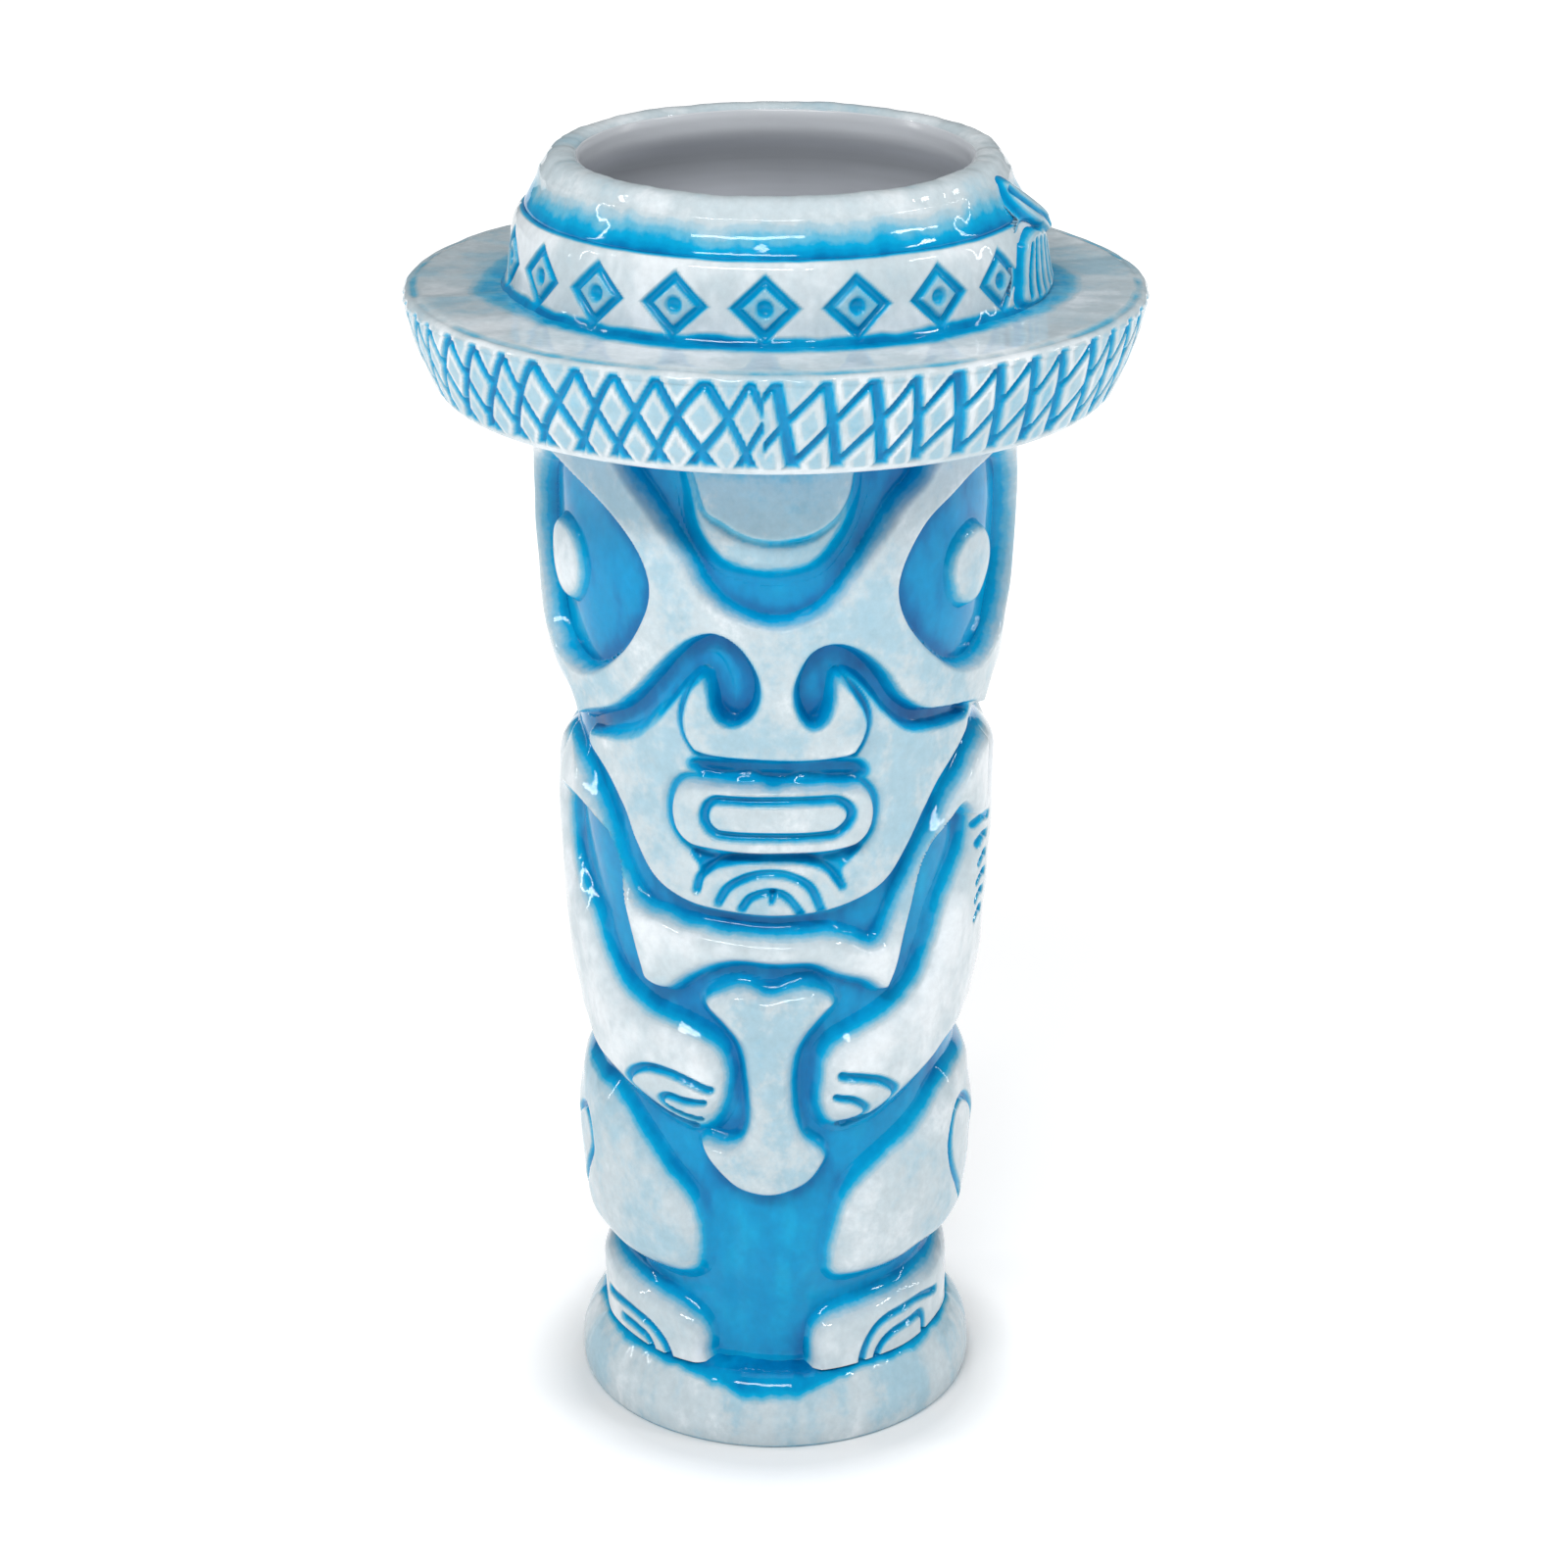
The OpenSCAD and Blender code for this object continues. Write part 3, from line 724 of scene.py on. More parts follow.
def add_piece(name, points, faces, values, node):
    """Makes a smooth mesh object with the glaze's two values at each point, in place of one CAD node."""
    mesh = bpy.data.meshes.new(name)
    mesh.from_pydata((np.asarray(points) * MM).tolist(), [], faces)
    mesh.validate()
    for key, data in values.items():
        mesh.attributes.new(key, "FLOAT", "POINT").data.foreach_set("value", np.asarray(data, np.float32))
    mesh.polygons.foreach_set("use_smooth", [True] * len(mesh.polygons))
    piece = bpy.data.objects.new(name, mesh)
    bpy.context.scene.collection.objects.link(piece)
    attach(piece, "root")
    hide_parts(node)
    return piece


def on_mug(turn, z, radius):
    """Points in space for angles round the mug, heights and radii."""
    a = np.radians(turn)
    return np.stack([radius * np.sin(a), -radius * np.cos(a), z], -1)


print("a point in front at mid height:", on_mug(0.0, 95.0, float(skin(95))).round(1))

# %% [markdown]
# A part of the figure becomes a closed solid from the grid cells where it shows. Its edge goes straight in,
# and the hidden inner face has one long polygon per column and not one per cell, which keeps the mesh
# light.

# %% Edge and inner face of a patch


def border(cells, index):
    """Pairs of grid points along the edge of the shown cells, each in the order that faces outwards."""
    n_cols = cells.shape[1]
    nothing = np.zeros((1, n_cols), bool)
    below, above = np.vstack([nothing, cells[:-1]]), np.vstack([cells[1:], nothing])
    edges = []
    for open_side, a, b in ((cells & ~np.roll(cells, 1, axis=1), (0, 0), (1, 0)),
                            (cells & ~np.roll(cells, -1, axis=1), (1, 1), (0, 1)),
                            (cells & ~below, (0, 1), (0, 0)), (cells & ~above, (1, 0), (1, 1))):
        row, col = np.nonzero(open_side)
        first = index[row + a[0], (col + a[1]) % n_cols]
        second = index[row + b[0], (col + b[1]) % n_cols]
        edges.append(np.stack([first, second], -1))
    return np.concatenate(edges)


def inner_columns(cells, index, on_rim):
    """One polygon of rim points for each unbroken stretch of each column of cells."""
    n_cols = cells.shape[1]
    columns = []
    for col in range(n_cols):
        column = cells[:, col]
        starts = np.nonzero(column & ~np.append(False, column[:-1]))[0]
        stops = np.nonzero(column & ~np.append(column[1:], False))[0] + 1
        far_col = (col + 1) % n_cols
        for low_row, high_row in zip(starts, stops):
            rows = range(low_row, high_row + 1)
            near_side = [index[k, col] for k in rows if on_rim[k, col]]
            far_side = [index[k, far_col] for k in rows if on_rim[k, far_col]]
            columns.append(near_side + far_side[::-1])
    return columns


print("patch tools ready")

# %% [markdown]
# The solid takes each shown point once outside, and each rim point again inside; `place` says which mesh
# point a grid point has become.

# %% Solid from a patch of the sheet


def patch(name, node, turn, level, shown, radius, inner_radius, values):
    """Closed solid of a shown part of a grid: its surface, a straight edge and a light inner face."""
    n_rows, n_cols = shown.shape
    right = np.roll(shown, -1, axis=1)
    cells = np.zeros_like(shown)
    cells[:-1] = shown[:-1] & shown[1:] & right[:-1] & right[1:]
    index = np.arange(n_rows * n_cols).reshape(n_rows, n_cols)
    next_col = np.roll(index, -1, axis=1)
    row, col = np.nonzero(cells)
    quads = np.stack([index[row, col], next_col[row, col], next_col[row + 1, col], index[row + 1, col]], -1)
    walls = border(cells, index)
    outer_ids, inner_ids = np.unique(quads), np.unique(walls)
    place = np.full((2, n_rows * n_cols), -1)
    place[0, outer_ids] = np.arange(len(outer_ids))
    place[1, inner_ids] = len(outer_ids) + np.arange(len(inner_ids))
    both = np.concatenate([outer_ids, inner_ids])
    radii = np.concatenate([radius.ravel()[outer_ids], inner_radius.ravel()[inner_ids]])
    points = on_mug(turn.ravel()[both], level.ravel()[both], radii)
    faces = [tuple(f) for f in place[0, quads].tolist()]
    first, last = place[:, walls[:, 0]], place[:, walls[:, 1]]
    faces += list(zip(last[0].tolist(), first[0].tolist(), first[1].tolist(), last[1].tolist()))
    on_rim = np.isin(index, inner_ids)
    faces += [tuple(place[1, column].tolist()) for column in inner_columns(cells, index, on_rim)]
    return add_piece(name, points, faces, {key: field.ravel()[both] for key, field in values.items()}, node)


print("patch ready")

# %% [markdown]
# A part shows where it stands above the ground and its neighbours, or just under them, so that it sits in
# the ground as a sprig of clay does. `TINGE` is the faint blue that the brush leaves all over some parts.

# %% The figure's parts
SEAT = 0.7
INNER_DEPTH = 2.0
TINGE = {"head": 0.085, "forehead": 0.16, "belly": 0.11, "mouth": 0.065, "left_leg": 0.055, "right_leg": 0.04,
         "left_eye": 0.03, "right_eye": 0.05, "back": 0.05}


def sprig(name):
    """One part of the figure as a closed solid."""
    top = tops[name]
    shown = (top > ground - SEAT) & (top > surface - SEAT)
    node = "cup_wall" if name == "blue_ground" else name
    tinged = np.maximum(pool, TINGE.get(name, 0.0))
    inner_radius = skin(LEVEL) + GROUND - INNER_DEPTH
    values = {"pool": tinged, "hollow": hollow}
    return patch(name, node, TURN, LEVEL, shown, skin(LEVEL) + top + wobble, inner_radius, values)


figure = {name: sprig(name) for name in tops}
for name, piece in figure.items():
    print(f"{name}: {len(piece.data.polygons)} faces")

# %% [markdown]
# ## Turned parts
#
# The cup, its liner, the plinth and the hat are turned shapes. Each has a closed profile of (radius,
# height) points. `eased` rounds its corners, and `cut_up` splits it into short steps where the surface
# carries carving and long ones where nothing shows.

# %% Profiles


def eased(points, default=0.8):
    """Rounds each corner of a closed profile; a point may give its own rounding as a third number."""
    p = [(q[0], q[1], q[2] if len(q) > 2 else default) for q in points]
    out = []
    for k, (x, y, soft) in enumerate(p):
        here = np.array([x, y])
        before, after = np.array(p[k - 1][:2]), np.array(p[(k + 1) % len(p)][:2])
        back, on = before - here, after - here
        cut_back = min(soft, 0.45 * np.linalg.norm(back))
        cut_on = min(soft, 0.45 * np.linalg.norm(on))
        if soft <= 0:
            out.append(here)
            continue
        start, end = here + back / np.linalg.norm(back) * cut_back, here + on / np.linalg.norm(on) * cut_on
        out += [(1 - t) ** 2 * start + 2 * t * (1 - t) * here + t * t * end for t in np.linspace(0, 1, 6)]
    return np.array(out)


def cut_up(profile, spacing):
    """Splits the profile's long stretches into steps; spacing may depend on the place."""
    out = []
    for a, b in zip(profile, np.roll(profile, -1, axis=0)):
        step = spacing(0.5 * (a + b)) if callable(spacing) else spacing
        n = max(1, int(math.ceil(np.linalg.norm(b - a) / step)))
        out += [a + (b - a) * k / n for k in range(n)]
    return np.array(out)


print("a square has", len(eased([(0, 0), (4, 0), (4, 4), (0, 4)])), "points once eased")

# %% [markdown]
# `turned` spins a profile round the mug. Carving moves its points along the profile's own normal, so that a
# groove is as deep on a slope as on a wall; `heave` lifts points straight up, for a lip that isn't level.

# %% Turned solids


def turned(name, node, profile, columns, shape=None, values=None, heave=None):
    """Closed ring solid of a profile; shape moves points along the profile's normal and heave straight up."""
    turn = np.linspace(-180, 180, columns, endpoint=False)
    along = np.roll(profile, -1, axis=0) - np.roll(profile, 1, axis=0)
    normal = np.stack([along[:, 1], -along[:, 0]], -1)
    normal /= np.linalg.norm(normal, axis=1, keepdims=True)
    T = np.broadcast_to(turn[None, :], (len(profile), columns))
    R = np.broadcast_to(profile[:, :1], T.shape).copy()
    Z = np.broadcast_to(profile[:, 1:], T.shape).copy()
    paint = {"pool": np.zeros(T.shape), "hollow": np.zeros(T.shape)}
    if values:
        paint = values(T, R, Z)
    if shape:
        push = shape(T, R, Z)
        R += push * normal[:, :1]
        Z += push * normal[:, 1:]
    if heave:
        Z += heave(T, Z)
    index = np.arange(T.size).reshape(T.shape)
    up, on = np.roll(index, -1, axis=0), np.roll(index, -1, axis=1)
    both = np.roll(up, -1, axis=1)
    faces = np.stack([index, on, both, up], -1).reshape(-1, 4)
    points = on_mug(T.ravel(), Z.ravel(), R.ravel())
    return add_piece(name, points, [tuple(f) for f in faces.tolist()],
                     {k: v.ravel() for k, v in paint.items()}, node)


print("turned ready")

# %% [markdown]
# ## Cup, liner and plinth
#
# The cup is one thick pot: it stands behind the blue ground, carries the hat, and ends in a rolled collar
# round the mouth. Its heights come from the CAD boxes of its neighbours. The wall below the hat hides
# behind the figure, so it is sunk half a millimetre and needs no carving.

# %% Cup profile
brim_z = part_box("hat_brim")[0][2] / MM
brim_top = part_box("hat_brim")[1][2] / MM
band_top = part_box("hat_band")[1][2] / MM
lip_z = mug_top / MM
SUNK = 0.5
stem_r = float(skin(150)) + GROUND - SUNK
cup_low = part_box("cup_wall")[0][2] / MM
MOUTH_R, LIP_R = 27.6, 32.0
outside = [(float(skin(z)) + GROUND - SUNK, z, 0) for z in np.arange(12.0, brim_z, 2.0)]
inner_wall = [(MOUTH_R + 2.2, lip_z - 8.0, 3), (MOUTH_R + 2.0, 176, 4), (MOUTH_R, 160, 4),
              (MOUTH_R - 0.2, 140, 4), (25, 108, 6), (23, 70, 6), (22, 42, 6), (18.5, 22, 4), (17.5, 12, 3),
              (15, 9.4, 2)]
collar = [(35.1, band_top - 0.1, 0.6), (34.3, band_top + 1.2, 1.0), (33.2, band_top + 2.9, 1.5),
          (32.7, band_top + 4.6, 1.5), (32.3, lip_z - 2.0, 1.6), (31.1, lip_z - 0.1, 1.5),
          (28.8, lip_z + 0.05, 1.0), (MOUTH_R, lip_z - 0.5, 0.6)]
cup_profile = ([(15.0, cup_low), (float(skin(12)) + GROUND - SUNK, cup_low, 0)] + outside
               + [(stem_r, brim_z + 0.5, 0), (stem_r + 0.2, brim_top), (stem_r + 2.6, band_top - 1.5, 0.5)]
               + collar + [(MOUTH_R, lip_z - 4.0, 1.5)] + inner_wall)
cup_line = cut_up(eased(cup_profile), lambda p: 0.45 if p[1] > band_top - 2 and p[0] > 29 else 2.4)
print("cup profile:", len(cup_line), "points")

# %% [markdown]
# Blue pools at the foot of the collar and climbs it unevenly. `ragged` is a sum of a few waves round the
# mug that never line up, which gives such an edge without a random number.

# %% Cup and collar


def ragged(turn, scale=1.0, seed=0.0):
    """Uneven edge of a run of glaze: a few waves round the mug that don't repeat."""
    a = np.radians(turn)
    waves = ((7, 1.0, 0.3), (13, 0.7, 1.9), (23, 0.6, 4.1), (41, 0.4, 2.2), (67, 0.25, 5.0))
    return scale * sum(k * np.sin(n * a + p + seed) for n, k, p in waves) / 2.0


def back_rise(turn, z):
    """The mouth of the cup rises a little towards the back."""
    return 0.5 * (1 - np.cos(np.radians(turn))) * ease((z - 180) / 8)


def cup_shape(turn, r, z):
    """The collar waves a little, as hand-finished clay does."""
    return ragged(turn, 0.10) * ease((z - 184) / 2)


def cup_paint(turn, r, z):
    edge = band_top + 1.9 + ragged(turn, 0.6)
    run = (1 - ease((z - edge + 4.0) / 8.0)) * (r > 27.9)
    corner = 1 - ease((z - band_top - 0.2) / 1.6)
    return {"pool": np.maximum(run, 0.03), "hollow": 0.8 * corner * run}


cup = turned("cup_wall", "cup_wall", cup_line, 360, cup_shape, cup_paint, back_rise)
print("cup_wall:", len(cup.data.polygons), "faces")

# %% [markdown]
# The liner is the coat of grey glaze inside: it follows the cup's own inner wall, 0.4 mm thick, and has a
# floor.

# %% Liner
COAT = 0.4
CLEAR = 0.02
liner_outer = ([(MOUTH_R + 0.3, lip_z - 0.7, 0.2), (MOUTH_R - CLEAR, lip_z - 1.6, 0.5),
                (MOUTH_R - CLEAR, lip_z - 4.0, 1.5)] + inner_wall + [(COAT, 9.4, 0.1)])
liner_inner = [(max(COAT, r - COAT), z + (COAT if z < 15 else 0.0), soft) for r, z, soft in liner_outer][::-1]
liner_line = cut_up(eased(liner_outer + liner_inner), 1.2)
liner = turned("liner_glaze", "liner_glaze", liner_line, 240, heave=back_rise)
print("liner_glaze:", len(liner.data.polygons), "faces")

# %% [markdown]
# The plinth is a round-edged disc with a seat for the cup and a thin foot ring. Blue has run out on its top
# from between the feet, furthest in front.

# %% Plinth
foot_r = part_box("foot_disc")[1][0] / MM
foot_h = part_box("foot_disc")[1][2] / MM
plinth_profile = [(24.6, 0.0, 0.4), (foot_r - 0.4, 0.0, 0.6), (foot_r, 1.4, 1.0), (foot_r, 3.6, 1.4),
                  (foot_r - 0.5, 5.8, 1.3), (foot_r - 1.5, 8.0, 1.5), (foot_r - 3.0, 10.0, 1.5),
                  (foot_r - 4.8, 11.2, 1.5), (22.5, 11.9, 1.0), (20.0, 12.0, 0.4), (20.0, cup_low, 0.2),
                  (0.4, cup_low, 0.1), (0.4, 1.5, 0.1), (24.0, 1.5, 0.5)]
plinth_line = cut_up(eased(plinth_profile), lambda p: 0.5 if p[0] > 21 and p[1] > 0.2 else 3.0)


def plinth_shape(turn, r, z):
    return ragged(turn, 0.18, 2.0) * ease((z - 2) / 4) * (r > 22)


def plinth_paint(turn, r, z):
    front_run = 1.5 * np.exp(-(((turn + 4) / 22) ** 4))
    run_out = foot_r - 3.3 + ragged(turn, 0.30, 1.0) + front_run
    run = (1 - ease((r - run_out + 0.9) / 1.8)) * (z > 6) * (r > 21)
    # Painted shadow: a thin blue-grey line along the very bottom edge, where the plinth stands on the table.
    contact_shadow_line = 0.25 * (1 - ease((z - 0.2) / 0.5)) * (r > foot_r - 2)
    tinge = 0.06 + 0.04 * ragged(turn, 1.0, 3.0)
    corner = 0.7 * (1 - ease((r - foot_r + 4.6) / 1.5)) * (z > 8)
    return {"pool": np.maximum.reduce([run, contact_shadow_line, tinge]), "hollow": corner}


plinth = turned("foot_disc", "foot_disc", plinth_line, 480, plinth_shape, plinth_paint)
print("foot_disc:", len(plinth.data.polygons), "faces")

# %% [markdown]
# ## The hat
#
# The brim is a thick disc with a slanting edge. Only the edge is carved, so only the edge has fine steps;
# the plain top and the hidden under side make do with long ones.

# %% Brim profile
brim_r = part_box("hat_brim")[1][0] / MM
brim_profile = [(stem_r + 0.1, brim_z + 0.6, 0.3), (stem_r + 1.0, brim_z, 0.5), (45.9, brim_z, 1.0),
                (47.6, brim_z + 0.8, 1.2), (48.7, brim_z + 3.2, 2), (50.1, brim_z + 6.4, 3),
                (51.3, brim_z + 10.2, 3), (51.9, brim_top - 2.2, 1.2), (brim_r - 0.3, brim_top - 0.3, 0.9),
                (50.2, brim_top - 0.05, 1.0), (44, brim_top - 0.25, 4), (38.5, brim_top - 0.1, 2),
                (stem_r + 0.1, brim_top - 0.1, 0.2)]


def brim_spacing(p):
    """Fine steps on the carved edge, wide ones on the plain top and under side."""
    if p[0] > 45 and p[1] < brim_top - 0.4:
        return 0.36
    return 1.0 if p[1] > brim_top - 1 else 3.6


brim_line = cut_up(eased(brim_profile), brim_spacing)
print("brim profile:", len(brim_line), "points")

# %% [markdown]
# The edge is cut with a lattice: two families of slanting grooves that leave cushions between them. On the
# right half the cutter leaned both families further over, so a seam shows in front and behind.

# %% Lattice
LATTICE_STEP = 360 / 54
LATTICE_LOW, LATTICE_HIGH = brim_z + 1.5, brim_top - 0.9


def lattice(turn, r, z):
    """Distance from the nearest groove in half widths, and the height on the edge from 0 to 1."""
    s = (z - LATTICE_LOW) / (LATTICE_HIGH - LATTICE_LOW)
    right_half = ((turn > -1.5) & (turn < 178.5)).astype(float)
    start = np.where(right_half > 0, 7.35, -3.46)
    unsteady = 0.35 * np.sin(np.radians(turn) * 17 + 0.6) + 0.25 * np.sin(np.radians(turn) * 29 + 2.0)
    best = np.full(turn.shape, 99.0)
    for lean, half_width in ((1.4 + 0.34 * right_half, 0.48 - 0.05 * right_half),
                             (-1.0 + 0.65 * right_half, 0.57 + 0.12 * right_half)):
        x = (turn - start + unsteady) / LATTICE_STEP - lean * (s - 1)
        off = np.abs(x - np.round(x)) * LATTICE_STEP * np.radians(1) * r
        slope = lean * LATTICE_STEP * np.radians(1) * r / (LATTICE_HIGH - LATTICE_LOW)
        best = np.minimum(best, off / np.sqrt(1 + slope**2) / half_width)
    return best, s


print("lattice of", round(360 / LATTICE_STEP), "cells round")

# %% [markdown]
# The same measure shapes the brim and paints it, so the blue lines can't miss their grooves. The top takes
# a run of blue at the foot of the crown and a broken line along its outer corner.

# %% Brim


def brim_shape(turn, r, z):
    near, s = lattice(turn, r, z)
    on_edge = ease((s + 0.05) / 0.08) * ease((1.03 - s) / 0.06) * (r > 45)
    cushion = 0.22 * (1 - np.exp(-((near / 2.6) ** 2)))
    corner = 0.22 * np.exp(-(((r - 50.8) / 0.5) ** 2)) * (z > brim_top - 0.8)
    top_wave = (0.3 + ragged(turn, 0.10, 3.0)) * (z > brim_top - 1.2)
    return on_edge * (cushion - 0.75 * np.exp(-(near**4))) - corner + top_wave


def brim_paint(turn, r, z):
    near, s = lattice(turn, r, z)
    on_edge = ease((s + 0.03) / 0.06) * ease((1.03 - s) / 0.05) * (r > 45)
    lines = on_edge * np.exp(-((near / 1.12) ** 4))
    spots = on_edge * 0.16 * ease((near - 2.3) / 1.2)
    on_top = z > brim_top - 0.6
    broken = np.clip(0.22 + 0.30 * ragged(turn, 1.0, 6.0), 0.04, 0.6)
    corner = broken * np.exp(-(((r - 50.7) / 0.5) ** 2)) * on_top
    run_out = 39.6 + ragged(turn, 0.5, 4.0) + 1.6 * np.exp(-(((np.abs(turn) - 80) / 18) ** 2))
    foot = (1 - 0.5 * ease((np.abs(turn) - 30) / 30)) * (1 - ease((r - run_out + 1.2) / 3.8)) * on_top
    side_cloud = 0.10 * ease((np.abs(turn) - 45) / 30) * on_top * (0.5 + 0.5 * ragged(turn, 1.0, 2.0))
    under = (z < brim_z + 0.3) * (r < 44.6) * 0.8
    return {"pool": np.maximum.reduce([lines, spots, corner, foot, np.clip(side_cloud, 0, 1), under]),
            "hollow": 0.35 * lines + 0.15 * foot + under}


brim = turned("hat_brim", "hat_brim", brim_line, 780, brim_shape, brim_paint)
print("hat_brim:", len(brim.data.polygons), "faces")

# %% [markdown]
# Round the crown runs a raised band with a row of diamonds, each with a dot in a ring. They are found the
# same way as the lattice: one formula gives the distance from the nearest diamond's outline.

# %% Band profile
band_r = 37.5
band_profile = [(stem_r + 0.4, brim_top - 0.3, 0.2), (band_r + 1.2, brim_top - 0.3, 0.6),
                (band_r + 0.1, brim_top + 1.2, 1.2), (band_r - 0.5, brim_top + 6.0, 3),
                (band_r - 0.8, band_top - 2.5, 2), (band_r - 1.4, band_top - 0.8, 1.5),
                (band_r - 2.5, band_top + 0.1, 0.7), (stem_r + 1.6, band_top - 0.6, 0.3)]
band_line = cut_up(eased(band_profile), lambda p: 0.34 if p[0] > band_r - 3 else 1.0)
print("band profile:", len(band_line), "points")

# %% Band and diamonds
DIAMONDS = 19
DIAMOND_Z = brim_top + 4.9


def diamond(turn, r, z):
    """Signed distance from the nearest diamond's outline, and distance from its middle, in mm."""
    x = (turn + 2) / (360 / DIAMONDS)
    beside = (x - np.round(x)) * (360 / DIAMONDS) * np.radians(1) * r
    over = z - DIAMOND_Z
    outline = (1 - np.abs(beside) / 3.8 - np.abs(over) / 3.55) * 2.6
    return outline, np.sqrt(beside**2 + over**2)


def band_shape(turn, r, z):
    outline, middle = diamond(turn, r, z)
    front = r > band_r - 2.6
    ring = np.exp(-((outline / 0.56) ** 4))
    dot = np.exp(-((middle / 1.1) ** 4)) - 0.35 * np.exp(-(((middle - 1.75) / 0.4) ** 2))
    return front * (-0.7 * np.maximum(ring, dot) + ragged(turn, 0.1, 5.0))


def band_paint(turn, r, z):
    outline, middle = diamond(turn, r, z)
    front = r > band_r - 2.6
    lines = np.maximum(np.exp(-((outline / 0.64) ** 4)), np.exp(-((middle / 1.2) ** 4)))
    lines = np.maximum(lines, 0.22 * ease((outline - 0.3) / 0.5))
    lower = 1 - ease((z - brim_top - 0.5 - ragged(turn, 0.25, 2.5)) / 1.2)
    upper = ease((z - band_top + 0.45) / 0.5)
    corners = np.maximum(lower, upper)
    return {"pool": np.maximum(front * lines, corners), "hollow": 0.4 * corners}


band = turned("hat_band", "hat_band", band_line, 780, band_shape, band_paint)
print("hat_band:", len(band.data.polygons), "faces")

# %% [markdown]
# The band's end is knotted at one side: a fan of folds with a leaf over it. The knot lies on the hat as the
# figure lies on the cup, so it is drawn on a small sheet of its own and made by the same `patch`.

# %% Knot
KNOT_TURN, KNOT_LEVEL = np.meshgrid(np.arange(56.0, 92.0, 0.45), np.arange(brim_top + 0.2, 189.8, 0.24))
hat_line = through([(brim_top, 38.6), (174.5, 37.6), (178.5, 37.0), (181, 36.7), (183, 36.1), (184.6, 34.9),
                    (186.6, 33.3), (188.5, 32.2), (190, 31.4)])
hat_side = np.interp(KNOT_LEVEL, hat_line[:, 0], hat_line[:, 1])


def on_knot(points, closed=True):
    return (inside if closed else away)(points, KNOT_TURN, KNOT_LEVEL)


folds = on_knot([(62, 173.2), (61.6, 177), (64, 181.4), (70, 182.6), (78, 181.8), (84, 179.6), (86.5, 176),
                 (87, 173.2)])
leaf = on_knot([(67.5, 188.6), (71, 189), (77, 187.4), (83, 184.6), (87.5, 181.4), (86, 179.6), (80, 180.6),
                (73.6, 182.6), (69, 185.4)])
bulk = np.maximum(1.3 * np.maximum(lift(folds, 1.3), 0), 1.9 * np.maximum(lift(leaf, 1.5), 0))
print("knot sheet of", KNOT_TURN.shape, "points")

# %% [markdown]
# Lines part the folds, and blue lies in the lines and along the knot's edge.

# %% Folds of the knot
knot_lines = [on_knot(line, False) for line in
              ([(64.6, 174.2), (65.4, 177.2), (67.6, 180.4)], [(68.8, 173.8), (69.2, 177.2), (70.6, 180.6)],
               [(73.2, 173.8), (73.2, 177.2), (73.8, 180.4)], [(78, 173.8), (77.6, 177), (77.2, 180)],
               [(82.8, 174), (81.8, 176.6), (80.4, 179.4)], [(64.2, 181.8), (70, 182.9), (76, 181.9)],
               [(69.8, 187.6), (74, 185.4), (79, 183.2), (84, 181.4)])]
knot_line = np.minimum.reduce(knot_lines)
bulk = bulk - 0.8 * np.exp(-((knot_line / 0.55) ** 4))
knot_edge = np.maximum(folds, leaf)
edge_blue = np.exp(-(((knot_edge + 0.2) / 0.7) ** 2))
knot_pool = np.maximum(np.maximum(edge_blue, np.exp(-((knot_line / 0.62) ** 4))), 0.12)
knot = patch("hat_knot", "hat_knot", KNOT_TURN, KNOT_LEVEL, knot_edge > -1.3, hat_side + bulk - 0.15,
             hat_side - 2.2, {"pool": knot_pool, "hollow": 0.3 * knot_pool})
print("hat_knot:", len(knot.data.polygons), "faces")

# %% [markdown]
# ## The glaze
#
# One glaze material serves all the outside, as one dip and one brush of blue did on the real mug. It is
# built from nodes, so a few small helpers come first: they make a node, a sum, some noise, a change of
# scale, a ramp of colours, and a colour times a factor.

# %% Node helpers


def node_of(tree, kind, **settings):
    made = tree.nodes.new(kind)
    for key, value in settings.items():
        if key in made.inputs:
            made.inputs[key].default_value = value
        else:
            setattr(made, key, value)
    return made


def maths(tree, operation, a, b=None, clamp=False):
    made = tree.nodes.new("ShaderNodeMath")
    made.operation = operation
    made.use_clamp = clamp
    for slot, value in zip(made.inputs, (a, b)):
        if value is None:
            continue
        if isinstance(value, (int, float)):
            slot.default_value = value
        else:
            tree.links.new(value, slot)
    return made.outputs[0]


def noise(tree, coordinates, scale, detail=3.0, rough=0.55, stretch=(1, 1, 1)):
    mapping = node_of(tree, "ShaderNodeMapping")
    mapping.inputs["Scale"].default_value = stretch
    tree.links.new(coordinates, mapping.inputs["Vector"])
    made = node_of(tree, "ShaderNodeTexNoise", Scale=scale, Detail=detail, Roughness=rough)
    tree.links.new(mapping.outputs["Vector"], made.inputs["Vector"])
    return made.outputs["Fac"]


def scaled(tree, value, least, most, low, high):
    """Stretches a value that runs from least to most so that it runs from low to high."""
    made = node_of(tree, "ShaderNodeMapRange")
    for key, number in (("From Min", least), ("From Max", most), ("To Min", low), ("To Max", high)):
        made.inputs[key].default_value = number
    tree.links.new(value, made.inputs["Value"])
    return made.outputs["Result"]


def ramp_of(tree, value, colours, interpolation="LINEAR"):
    """A colour ramp through (place, colour) stops."""
    made = node_of(tree, "ShaderNodeValToRGB")
    made.color_ramp.interpolation = interpolation
    stops = made.color_ramp.elements
    while len(stops) < len(colours):
        stops.new(0.5)
    for stop, (at, colour) in zip(stops, colours):
        stop.position = at
        stop.color = (*colour, 1.0)
    tree.links.new(value, made.inputs["Fac"])
    return made.outputs["Color"]


